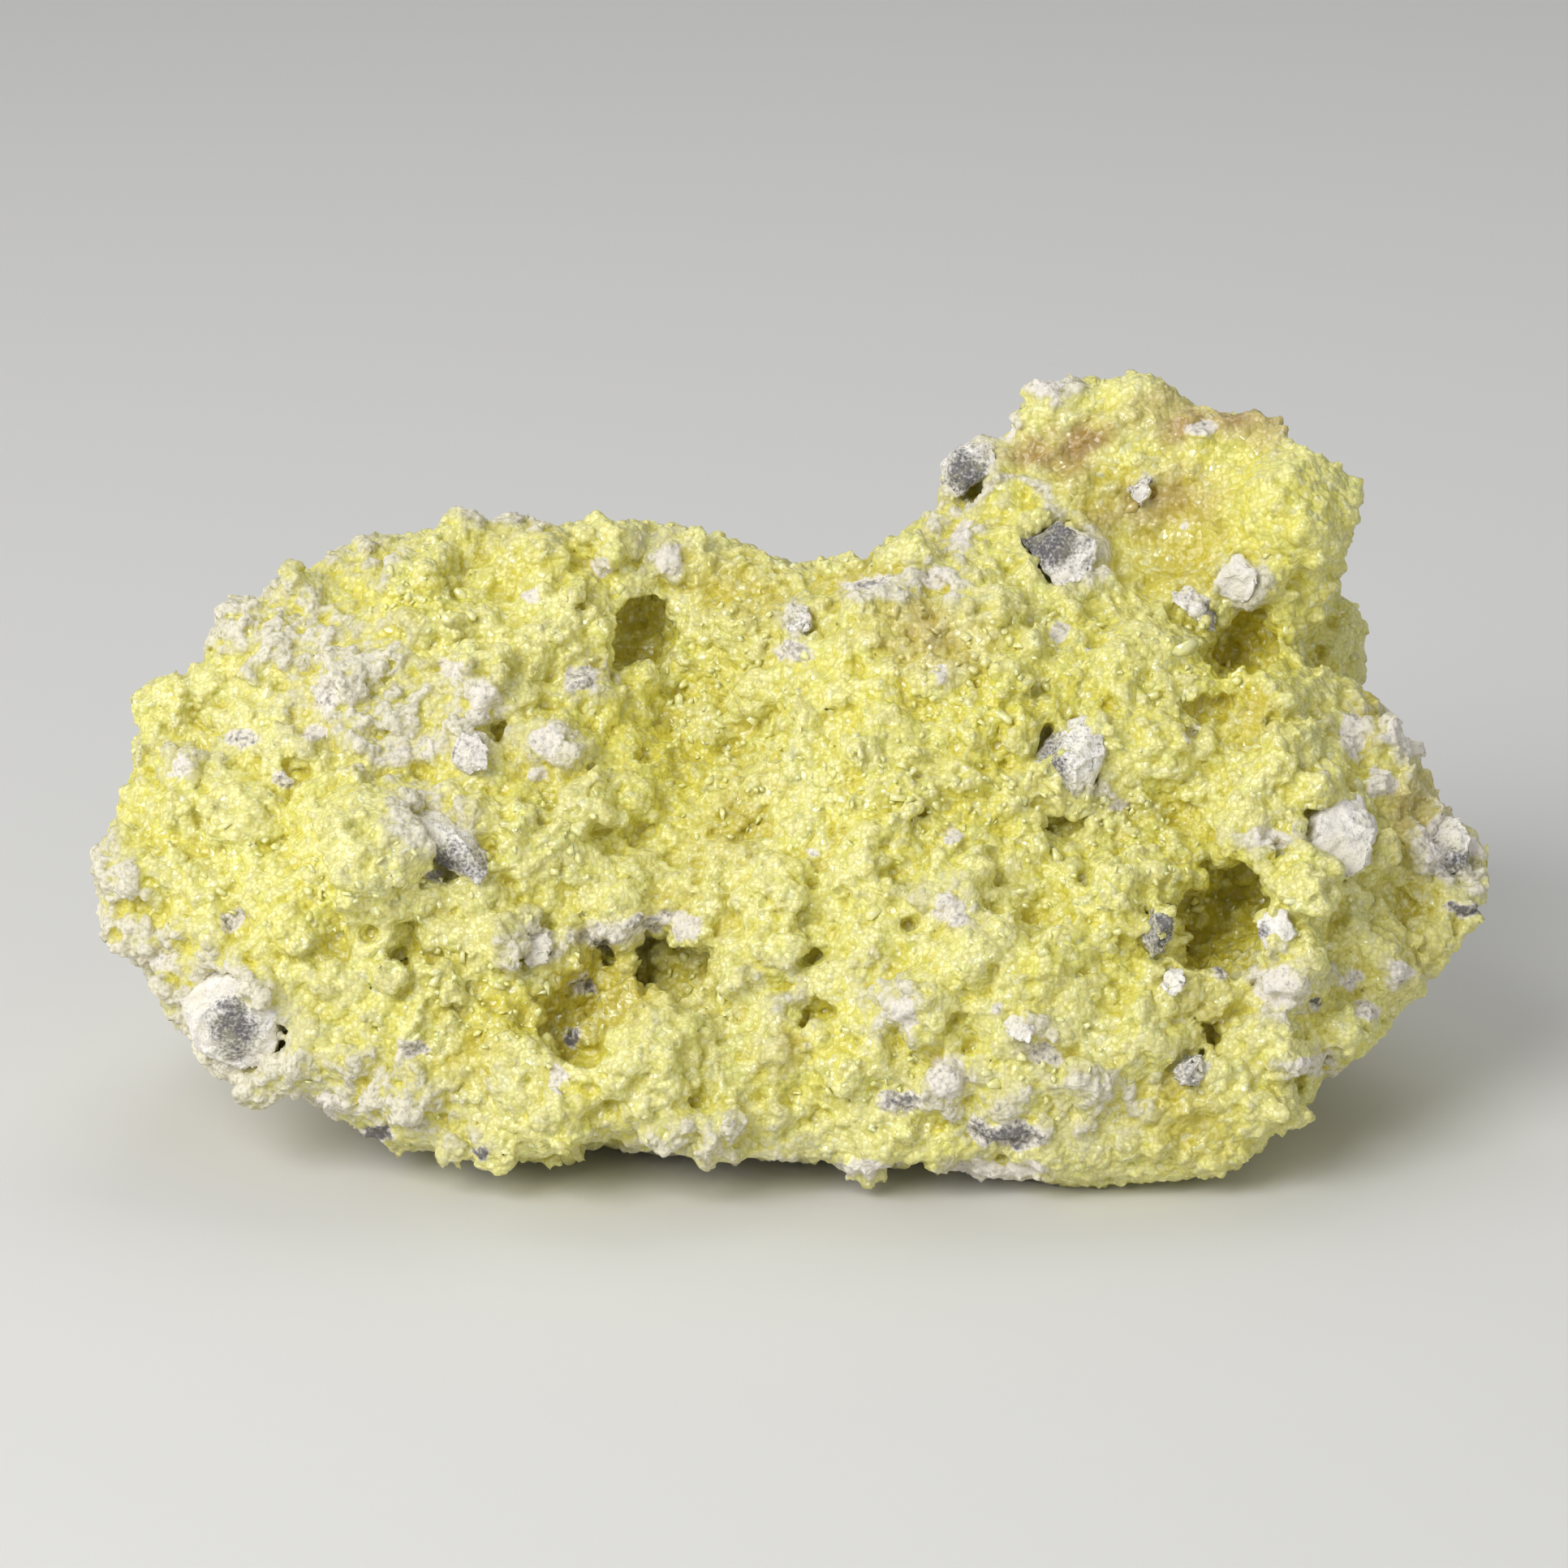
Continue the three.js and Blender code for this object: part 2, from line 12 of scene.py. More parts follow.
import bmesh
import bpy
import numpy as np
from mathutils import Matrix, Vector


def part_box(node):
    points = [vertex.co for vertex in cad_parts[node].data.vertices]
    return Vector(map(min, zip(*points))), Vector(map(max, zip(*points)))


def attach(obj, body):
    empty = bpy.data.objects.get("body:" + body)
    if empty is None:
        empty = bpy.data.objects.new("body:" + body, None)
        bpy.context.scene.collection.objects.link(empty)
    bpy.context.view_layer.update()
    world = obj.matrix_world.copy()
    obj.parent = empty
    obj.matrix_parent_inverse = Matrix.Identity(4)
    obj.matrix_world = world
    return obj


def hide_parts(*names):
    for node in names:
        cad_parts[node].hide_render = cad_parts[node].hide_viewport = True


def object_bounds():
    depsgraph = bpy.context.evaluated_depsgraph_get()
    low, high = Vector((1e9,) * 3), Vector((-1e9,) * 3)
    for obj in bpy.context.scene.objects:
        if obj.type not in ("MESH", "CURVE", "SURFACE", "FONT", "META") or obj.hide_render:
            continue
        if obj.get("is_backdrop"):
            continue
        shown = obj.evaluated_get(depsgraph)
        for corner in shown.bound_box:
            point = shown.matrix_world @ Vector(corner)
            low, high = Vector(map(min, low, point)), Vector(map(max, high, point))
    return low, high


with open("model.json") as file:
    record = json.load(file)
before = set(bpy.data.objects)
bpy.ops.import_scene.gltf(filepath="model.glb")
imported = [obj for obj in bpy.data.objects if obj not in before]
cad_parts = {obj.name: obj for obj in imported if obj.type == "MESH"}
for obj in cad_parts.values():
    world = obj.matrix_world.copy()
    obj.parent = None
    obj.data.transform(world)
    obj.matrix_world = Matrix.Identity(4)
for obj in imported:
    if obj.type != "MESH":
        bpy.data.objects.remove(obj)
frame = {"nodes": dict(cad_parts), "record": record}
box_low, box_high = (np.array(corner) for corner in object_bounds())

MM = 0.001

# The photograph's view
# The specimen was seen from a little above and from about 750 mm away. Its 150 mm from tip to tip
# take up 1735 of the picture's 1932 pixels. The picture's plane passes through the mass.
PICTURE_SIDE = 1932
PX = 150 * MM / 1735
EYE_DISTANCE = 750 * MM
LOOK_DOWN = math.radians(18)
SENSOR = 36
PICTURE_MIDDLE = np.array([966.0, 966.0])
MASS_MIDDLE = np.array([965.5, 1050.0])
MASS_MIDDLE_PLACE = np.array([-0.3, -3.4, 28.6]) * MM
RIGHT = np.array([1.0, 0.0, 0.0])
UP = np.array([0.0, math.sin(LOOK_DOWN), math.cos(LOOK_DOWN)])
TOWARD = np.array([0.0, -math.cos(LOOK_DOWN), math.sin(LOOK_DOWN)])
offset = (PICTURE_MIDDLE - MASS_MIDDLE) * PX
plane_middle = MASS_MIDDLE_PLACE + RIGHT * offset[0] - UP * offset[1]

eye = bpy.data.objects.new("eye", bpy.data.cameras.new("eye"))
eye.data.sensor_width = SENSOR
eye.data.lens = SENSOR * EYE_DISTANCE / (PICTURE_SIDE * PX)
eye.data.clip_start = 0.01
eye.data.clip_end = 20
eye.location = Vector(plane_middle + TOWARD * EYE_DISTANCE)
eye.rotation_euler = (math.pi / 2 - LOOK_DOWN, 0, 0)
bpy.context.scene.collection.objects.link(eye)
bpy.context.scene.camera = eye


def seen(points):
    """Where the photograph shows points of space, in pixels: across and up are divided by the
    share of the eye's distance that is left in front of the point."""
    away = points - plane_middle
    left = 1 - (away @ TOWARD) / EYE_DISTANCE
    x = PICTURE_MIDDLE[0] + (away @ RIGHT) / left / PX
    y = PICTURE_MIDDLE[1] - (away @ UP) / left / PX
    return np.stack([x, y], axis=1)


# The rock fragments
# Broken pieces of volcanic rock that hot sulfurous steam has bleached: angular, chalky and matt,
# white to grey with dark specks of what is left of the old minerals. The sulfur grew round them.


def scatter(cells, salt):
    """Evenly spread numbers from 0 to 1 for whole-numbered cells: what is left after the point of
    a large sine of a weighted sum of the cell's numbers."""
    total = cells @ np.array([127.1, 311.7, 74.7]) + 19.19 * salt
    return np.modf(np.abs(np.sin(total)) * 43758.5453)[0]


def haze(points, size, salt, octaves=3):
    """Soft noise from about -1 to 1: the scattered numbers of a cube's eight corners, blended by
    smooth weights, and summed over octaves that are each half the size and half as strong."""
    total = np.zeros(len(points))
    for octave in range(octaves):
        places = points / size * 2**octave
        home = np.floor(places)
        part = places - home
        weight = part * part * (3 - 2 * part)
        value = np.zeros(len(points))
        for corner in itertools.product((0, 1), repeat=3):
            share = np.prod(np.where(np.array(corner) == 1, weight, 1 - weight), axis=1)
            value += share * scatter(home + corner, salt + 31 * octave)
        total += (2 * value - 1) / 2**octave
    return total / 1.5


def hazes(points, size, salts, octaves=3):
    """Several hazes of one size side by side, one for each salt."""
    return np.stack([haze(points, size, salt, octaves) for salt in salts], axis=1)


def relaxed(values, edges, rounds):
    """Each row moves six tenths of the way to the mean of its neighbours, round after round."""
    count = np.bincount(edges.ravel(), minlength=len(values))[:, None]
    soft = values.copy()
    for _ in range(rounds):
        total = [
            np.bincount(edges[:, 0], soft[edges[:, 1], k], len(values))
            + np.bincount(edges[:, 1], soft[edges[:, 0], k], len(values))
            for k in range(values.shape[1])
        ]
        soft += 0.6 * (np.stack(total, axis=1) / count - soft)
    return soft


def joined(node):
    """A CAD node's triangles as a mesh of its own, joined where their corners meet."""
    work = bmesh.new()
    work.from_mesh(frame["nodes"][node].data)
    bmesh.ops.remove_doubles(work, verts=work.verts, dist=0.002 * MM)
    mesh = bpy.data.meshes.new(node + "_form")
    work.to_mesh(mesh)
    work.free()
    return mesh


def even_skin(mesh, voxel):
    """The form's skin as even squares about a voxel across, made by the Remesh modifier."""
    form = bpy.data.objects.new("form", mesh)
    bpy.context.scene.collection.objects.link(form)
    cut = form.modifiers.new("even_squares", "REMESH")
    cut.mode = "VOXEL"
    cut.voxel_size = voxel
    graph = bpy.context.evaluated_depsgraph_get()
    skin = bpy.data.meshes.new_from_object(form.evaluated_get(graph))
    bpy.data.objects.remove(form)
    return skin


def read_mesh(mesh):
    """A mesh's points, triangles and edges as arrays."""
    points = np.zeros(3 * len(mesh.vertices), np.float32)
    mesh.vertices.foreach_get("co", points)
    mesh.calc_loop_triangles()
    triangles = np.zeros(3 * len(mesh.loop_triangles), np.int32)
    mesh.loop_triangles.foreach_get("vertices", triangles)
    edges = np.zeros(2 * len(mesh.edges), np.int32)
    mesh.edges.foreach_get("vertices", edges)
    return points.reshape(-1, 3).astype(float), triangles.reshape(-1, 3), edges.reshape(-1, 2)


def unit(rows):
    """Rows made one long."""
    return rows / np.maximum(np.linalg.norm(rows, axis=1, keepdims=True), 1e-12)


def outward_of(points, triangles):
    """The points' outward normals: the sum of the cross products of the triangles round each."""
    a, b, c = (points[triangles[:, k]] for k in range(3))
    cross = np.cross(b - a, c - a)
    total = [
        sum(np.bincount(triangles[:, k], cross[:, axis], len(points)) for k in range(3))
        for axis in range(3)
    ]
    return unit(np.stack(total, axis=1))


def built(name, points, triangles, marks, smooth=True):
    """A mesh of triangles from arrays, with one attribute on its points for each mark."""
    mesh = bpy.data.meshes.new(name)
    mesh.vertices.add(len(points))
    mesh.vertices.foreach_set("co", points.astype(np.float32).ravel())
    mesh.loops.add(triangles.size)
    mesh.loops.foreach_set("vertex_index", triangles.astype(np.int32).ravel())
    mesh.polygons.add(len(triangles))
    mesh.polygons.foreach_set("loop_start", 3 * np.arange(len(triangles), dtype=np.int32))
    mesh.update(calc_edges=True)
    for key, values in marks.items():
        kept = mesh.attributes.new(key, "FLOAT", "POINT")
        kept.data.foreach_set("value", values.astype(np.float32))
    if smooth:
        mesh.shade_smooth()
    return mesh


def shown(name, mesh, material):
    """A mesh as a piece that rides on the specimen's one body."""
    piece = bpy.data.objects.new(name, mesh)
    bpy.context.scene.collection.objects.link(piece)
    piece.data.materials.append(material)
    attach(piece, "root")
    return piece


def patches(pixels, spots):
    """Strength at each pixel of a list of soft spots (x, y, half width, half height, strength):
    each falls as exp(-d^3), where d is the distance from its middle in half widths."""
    total = np.zeros(len(pixels))
    for x, y, half_width, half_height, strength in spots:
        d = np.hypot((pixels[:, 0] - x) / half_width, (pixels[:, 1] - y) / half_height)
        total += strength * np.exp(-(d**3))
    return total


def kept_inside(points, form):
    """Points held inside the specimen's box: the last 0.8 mm before a side are squeezed, falling
    off as an exponential, and the foot is left flat on the table."""
    bed = 0.8 * MM
    high_over = np.maximum(points - (box_high - bed), 0)
    low_over = np.maximum((box_low + bed) - points, 0)
    low_over[:, 2] = 0
    held = points - high_over + 0.95 * bed * (1 - np.exp(-high_over / bed))
    held = held + low_over - 0.95 * bed * (1 - np.exp(-low_over / bed))
    held[:, 2] = np.where(form[:, 2] < 0.25 * MM, 0, np.maximum(held[:, 2], 0.02 * MM))
    return held


def colour(hex_code):
    """A hex colour, as sRGB, turned to the linear red, green, blue and alpha that Blender reads."""
    parts = [int(hex_code[i : i + 2], 16) / 255 for i in (1, 3, 5)]
    linear = [c / 12.92 if c <= 0.04045 else ((c + 0.055) / 1.055) ** 2.4 for c in parts]
    return (*linear, 1)


def add(tree, kind, inputs, out=0, **settings):
    """Adds a node with its settings, gives each input, by name or number, a value or a link, and
    gives the output numbered `out`."""
    made = tree.nodes.new(kind)
    for name, value in settings.items():
        setattr(made, name, value)
    for name, value in inputs.items():
        if isinstance(value, bpy.types.NodeSocket):
            tree.links.new(value, made.inputs[name])
        else:
            made.inputs[name].default_value = value
    return made.outputs[out] if made.outputs else made


def empty_material(name):
    """A new material and its emptied node tree."""
    made = bpy.data.materials.new(name)
    made.use_nodes = True
    made.node_tree.nodes.clear()
    return made, made.node_tree


def coats(tree, base, layers):
    """Colours laid over a base colour, one after the other. Each is given by what drives it, the
    values at which it sets in and is full, its least and greatest share, and the colour."""
    for driver, low, high, least, most, coat in layers:
        share = add(tree, "ShaderNodeMapRange", {0: driver, 1: low, 2: high, 3: least, 4: most})
        base = add(tree, "ShaderNodeMix", {0: share, 6: base, 7: coat}, 2, data_type="RGBA")
    return base


# Bleached rock looks like chalk: matt, white to warm grey, with the old minerals as dark specks.
ROCK_WHITE = "#F8F4EC"
ROCK_PALE_GREY = "#E8E2D8"
ROCK_DARK = "#5E5B60"
ROCK_SPECK = "#3E3C42"
SULFUR_DUST = "#DEDAA2"


def rock_material(name, speck_from, dusting):
    """Bleached rock: white to dark by the dark mark, with specks of about 0.3 mm and a dusting of
    sulfur."""
    made, tree = empty_material(name)
    place = add(tree, "ShaderNodeTexCoord", {}, 3)
    dark = add(tree, "ShaderNodeAttribute", {}, 2, attribute_name="dark")
    cloud, speck, dust = (
        add(tree, "ShaderNodeTexNoise", {"Vector": place, "Scale": 1 / size, "Detail": detail})
        for size, detail in ((3.5 * MM, 6), (0.35 * MM, 4), (2.2 * MM, 6))
    )
    shade = add(tree, "ShaderNodeMath", {0: speck, 1: 2.2, 2: dark}, operation="MULTIPLY_ADD")
    layers = [
        (cloud, 0.4, 0.6, 0, 1, colour(ROCK_WHITE)),
        (shade, 1.25, 2.1, 0, 0.95, colour(ROCK_DARK)),
        (speck, speck_from, speck_from + 0.08, 0, 0.4, colour(ROCK_SPECK)),
        (dust, 0.45, 0.65, 0, dusting, colour(SULFUR_DUST)),
    ]
    finish = {
        "Base Color": coats(tree, colour(ROCK_PALE_GREY), layers),
        "Roughness": 0.93,
        "Normal": add(tree, "ShaderNodeBump", {"Distance": 0.22 * MM, "Height": speck}),
    }
    surface = add(tree, "ShaderNodeBsdfPrincipled", finish)
    add(tree, "ShaderNodeOutputMaterial", {"Surface": surface})
    return made


# Each slot's material, and how dark the rock is all over.
ROCK_KINDS = {
    "rock_white": (rock_material("bleached_rock", 0.7, 0.2), -0.25),
    "rock_grey": (rock_material("altered_grey_rock", 0.64, 0.3), 0.15),
    "rock_dark": (rock_material("dark_volcanic_rock", 0.64, 0.25), 0.2),
}
# Where the fragments' faces are dark, as [x, y, half width, half height, strength].
DARK_SPOTS = [
    (1285, 668, 36, 28, 1.0), (1316, 662, 16, 20, 0.7), (1190, 585, 24, 28, 1.0),
    (1290, 930, 22, 40, 0.5), (1305, 960, 20, 22, 0.4), (575, 1060, 50, 24, 0.45),
    (545, 1066, 24, 14, 0.5), (287, 1266, 36, 44, 1.3), (1498, 756, 14, 24, 0.8),
    (1424, 1135, 30, 40, 0.6), (1440, 1130, 12, 24, 0.6), (1557, 1148, 12, 13, 1.2),
    (1798, 1062, 20, 16, 0.8), (1466, 1318, 24, 24, 0.3), (984, 770, 18, 14, 0.3),
    (578, 930, 26, 26, 0.1), (1650, 1050, 30, 20, 0.1), (1686, 1060, 14, 30, 0.2),
]

# What the photograph shows of each fragment, as corners in pixels.
ROCK_OUTLINES = {
    "dark_rock_on_ledge": [
        (1256, 666), (1300, 639), (1324, 647), (1355, 670), (1347, 704), (1310, 736), (1276, 701),
    ],
    "dark_rock_beside_lobe": [
        (1156, 567), (1180, 544), (1227, 544), (1232, 574), (1202, 597), (1180, 613), (1160, 598),
    ],
    "white_rock_right": [
        (1595, 1037), (1606, 1005), (1647, 978), (1674, 977), (1698, 1019), (1688, 1065),
        (1661, 1086), (1602, 1066),
    ],
    "kite_rock_centre": [
        (1270, 936), (1303, 888), (1336, 879), (1362, 896), (1368, 930), (1349, 976), (1327, 989),
    ],
    "grey_rock_under_lobe": [
        (1443, 732), (1465, 720), (1492, 724), (1509, 752), (1498, 780), (1467, 767),
    ],
    "pink_rock_on_lobe": [
        (1495, 704), (1505, 685), (1531, 679), (1555, 704), (1545, 736), (1514, 762), (1499, 738),
    ],
    "small_rock_on_lobe": [
        (1388, 596), (1402, 577), (1421, 582), (1422, 605), (1407, 625), (1392, 615),
    ],
    "cube_rock_left": [
        (552, 925), (566, 902), (592, 900), (605, 922), (600, 949), (578, 958), (557, 951),
    ],
    "long_rock_left": [
        (476, 1000), (487, 982), (520, 984), (567, 1012), (606, 1040), (611, 1066), (590, 1090),
        (558, 1082), (523, 1053), (488, 1024),
    ],
    "white_rock_low_left": [
        (217, 1225), (234, 1195), (275, 1184), (322, 1194), (352, 1245), (354, 1290), (326, 1320),
        (280, 1322), (238, 1290),
    ],
    "grey_rock_top_centre": [(961, 752), (975, 739), (998, 743), (1004, 770), (990, 787), (967, 777)],
    "white_rock_low_centre": [
        (1232, 1262), (1243, 1246), (1270, 1247), (1279, 1265), (1268, 1286), (1241, 1284),
    ],
    "dark_rock_in_hollow": [
        (1404, 1130), (1420, 1107), (1446, 1112), (1450, 1150), (1440, 1182), (1419, 1185), (1405, 1160),
    ],
    "white_rock_in_hollow": [
        (1546, 1142), (1560, 1113), (1588, 1118), (1599, 1150), (1585, 1178), (1559, 1176),
    ],
    "white_rock_below_hollow": [
        (1428, 1205), (1440, 1185), (1460, 1191), (1464, 1215), (1450, 1231), (1432, 1226),
    ],
    "grey_rock_right_tip": [
        (1753, 1040), (1770, 1008), (1800, 1003), (1814, 1035), (1809, 1072), (1785, 1084), (1760, 1072),
    ],
    "white_rock_mid_left": [
        (632, 1165), (645, 1141), (668, 1138), (683, 1160), (678, 1189), (652, 1197), (636, 1186),
    ],
    "grey_rock_low_right": [
        (1441, 1320), (1455, 1297), (1480, 1299), (1491, 1318), (1478, 1339), (1450, 1341),
    ],
}


def cut_to(points, corners, margin):
    """Points that are seen outside an outline of corners are moved straight across onto it: for
    each side, by how far they are seen beyond the side's line, less the margin in pixels."""
    corners = np.array(corners, float)
    for first, last in zip(corners, np.roll(corners, -1, axis=0)):
        out = np.array([last[1] - first[1], first[0] - last[0]]) / np.linalg.norm(last - first)
        beyond = np.maximum((seen(points) - first) @ out - margin, 0) * PX
        points = points - beyond[:, None] * (out[0] * RIGHT - out[1] * UP)
    return points


def broken(chance, points, count):
    """Flat faces broken off a stone: for each of `count` chance directions, leaned forwards, up
    and a little left, the outermost tenth or so of its points are moved back onto a plane."""
    for way in unit(0.55 * chance.normal(size=(count, 3)) + TOWARD + 0.4 * UP - 0.2 * RIGHT):
        reach = points @ way
        face = np.quantile(reach, chance.uniform(0.84, 0.96))
        points = points - np.maximum(reach - face, 0)[:, None] * way
    return points


rock_names = [name for name in frame["nodes"] if name != "sulfur_mass"]
rock_boxes = [[np.array(corner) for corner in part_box(name)] for name in rock_names]
slot_of = {row["node"]: row["material_slot"] for row in frame["record"]["subparts"]}

# Each stone is its solid, skinned afresh, cut to its outline, broken and chipped. Points of its rim
# are kept for the crumbs of sulfur that hold it.
rock_rims = []
for order, node in enumerate(rock_names):
    low, high = rock_boxes[order]
    voxel = 0.03 * np.mean(high - low) + 0.06 * MM
    stone, triangles, edges = read_mesh(even_skin(joined(node), voxel))
    chance = np.random.default_rng(300 + order)
    out = unit(relaxed(outward_of(stone, triangles), edges, 8))
    stone = stone + 1.2 * MM * out
    rough_edge = 4 * haze(stone, 2.5 * MM, 77, 3) - 2
    stone = broken(chance, cut_to(stone, ROCK_OUTLINES[node], rough_edge), 8)
    out = unit(relaxed(outward_of(stone, triangles), edges, 2))
    chips = 0.35 * haze(stone, 2.4 * MM, 70 + order, 4) + 0.5 * haze(stone, 0.8 * MM, 78, 2) - 0.2
    stone = kept_inside(stone + out * chips[:, None] * MM, stone)
    material, tone = ROCK_KINDS[slot_of[node]]
    ragged = seen(stone) + 10 * hazes(stone, 2 * MM, (7, 8))
    dark = tone + patches(ragged, DARK_SPOTS) + 0.25 * haze(stone, 2.5 * MM, 9)
    mesh = built(node + "_stone", stone, triangles, {"dark": np.clip(dark, 0, 1)})
    piece = shown(node + "_stone", mesh, material)
    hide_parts(node)
    rim = np.abs(out @ TOWARD - 0.25) < 0.3
    rim = np.flatnonzero(rim & (haze(stone, 3 * MM, 88) > -0.05))
    rock_rims.append(stone[chance.choice(rim, 14)])
rock_rims = np.concatenate(rock_rims)

# The sulfur mass
# One lump of native sulfur that grew from vapour as a crust of knobs on knobs, with sugary crumbs
# of 1 to 3 mm fused to it. Its form is the CAD solid's, worn soft and grown over with lumps of
# 9 and 4 mm. Crumbs are set on that, and the whole is skinned afresh, so that they run together.
FORM_VOXEL = 0.7 * MM
CORE_VOXEL = 0.8 * MM
CRUST_VOXEL = 0.38 * MM
LARGE_LUMP = 9.5 * MM
MIDDLE_LUMP = 4.4 * MM
FRONT_FADE = 6 * MM


def seeds(points, size, salt):
    """Space is cut in cubes of `size`, each with one seed at a scattered place. Gives, in sizes,
    the distance to the nearest and the next nearest seed, then the nearest seed's own number, the
    height of the flat face through it, which is the way from the seed times its own chance
    slopes, and the seed's place."""
    places = points / size
    home = np.floor(places)
    near = np.full(len(points), 9.0)
    far = np.full(len(points), 9.0)
    number = np.zeros(len(points))
    face = np.zeros(len(points))
    seat = points.copy()
    for step in itertools.product((-1, 0, 1), repeat=3):
        cell = home + step
        reach = places - cell - np.stack([scatter(cell, salt + k) for k in range(3)], axis=1)
        gap = np.linalg.norm(reach, axis=1)
        closer = gap < near
        far = np.where(closer, near, np.minimum(far, gap))
        number = np.where(closer, scatter(cell, salt + 7), number)
        slopes = np.stack([scatter(cell, salt + 11 + k) - 0.5 for k in range(3)], axis=1)
        face = np.where(closer, np.sum(reach * slopes, axis=1), face)
        seat = np.where(closer[:, None], points - reach * size, seat)
        near = np.where(closer, gap, near)
    return near, far, number, face, seat


def near_rock(points, reach):
    """1 beside a rock fragment, falling to 0 at `reach` from the middle of its box, in half
    sizes."""
    most = np.zeros(len(points))
    for low, high in rock_boxes:
        d = np.linalg.norm((points - (low + high) / 2) / ((high - low) / 2), axis=1)
        most = np.maximum(most, np.clip((reach - d) / (reach - 1), 0, 1))
    return most


# Small forms of the front, as [x, y, half width, half height, millimetres out of the mass].
RELIEF_SPOTS = [
    (790, 778, 30, 28, -2.6), (778, 830, 18, 46, -1.4), (862, 900, 80, 110, -2.0),
    (948, 880, 26, 90, -1.4), (735, 1225, 60, 28, -2.8), (840, 1182, 56, 34, 2.6),
    (695, 1268, 26, 26, -2.4), (1495, 1118, 54, 56, -2.4), (1532, 1098, 20, 22, -1.8),
    (1528, 790, 34, 34, -2.0), (1530, 758, 44, 20, -2.4), (1480, 905, 18, 12, -2.0),
    (1540, 880, 14, 16, -2.0),
    (1280, 897, 16, 13, -2.2), (1275, 1115, 16, 14, -2.2), (1120, 1142, 22, 13, -1.8),
    (1240, 1070, 14, 12, -1.8), (1000, 1250, 24, 16, -1.4), (755, 1040, 28, 16, -2.0),
    (238, 902, 28, 14, -1.6), (612, 914, 28, 17, -2.0), (1130, 862, 28, 18, -1.6),
    (640, 1252, 46, 22, -2.0), (1490, 1275, 14, 56, -1.4), (1342, 792, 8, 7, -1.6),
    (1390, 1005, 80, 22, -1.4), (552, 1072, 34, 14, -1.8), (1694, 1088, 38, 26, -2.0),
    (1655, 1160, 14, 60, -1.4), (1500, 1242, 40, 12, -1.8), (425, 905, 60, 10, -1.2),
    (275, 985, 22, 14, -1.4), (370, 975, 18, 12, -1.4), (690, 905, 14, 14, -1.2),
    (1180, 950, 60, 14, -1.4), (1010, 1060, 16, 40, -1.2), (940, 1030, 18, 40, -1.4),
    (1420, 668, 80, 56, -1.6), (700, 690, 60, 16, -0.8), (1100, 1190, 30, 24, -1.0),
    (520, 735, 56, 56, 1.6), (450, 1050, 110, 80, 1.4), (1320, 1120, 60, 14, -1.0),
    (1060, 830, 70, 60, 1.3), (1075, 960, 60, 60, 1.2), (1232, 868, 34, 44, 1.5),
    (1432, 930, 36, 46, 1.8), (1580, 900, 34, 56, 1.6), (1350, 835, 90, 40, 1.3),
    (1600, 1180, 46, 56, 1.2), (1390, 1080, 60, 40, 1.2), (1200, 1180, 70, 50, 0.8),
    (700, 740, 60, 50, 1.0), (330, 790, 60, 44, 1.0), (1080, 1280, 60, 60, 0.6),
    (640, 1120, 60, 40, 0.8), (490, 1240, 70, 60, 0.8), (340, 1150, 60, 50, 0.8),
    (1240, 760, 60, 40, 1.2), (1560, 640, 80, 70, 1.2), (1440, 560, 70, 44, 0.8),
    (1290, 600, 110, 9, 0.9), (590, 860, 34, 34, 1.2), (690, 790, 40, 30, 0.8),
    (1530, 842, 60, 14, 1.6), (1540, 1000, 50, 40, 1.2), (840, 1395, 110, 34, 0.5),
    (1180, 1235, 56, 50, 1.2), (1360, 1355, 56, 40, 0.5), (1240, 1270, 40, 50, 0.8),
    (1590, 745, 40, 30, -1.0), (725, 1215, 50, 40, -1.4), (745, 1232, 44, 36, -2.4),
    (690, 1150, 60, 28, 1.0), (1462, 1188, 24, 16, -1.6), (905, 1005, 30, 34, -1.4),
    (1620, 1000, 30, 60, 1.0),
]
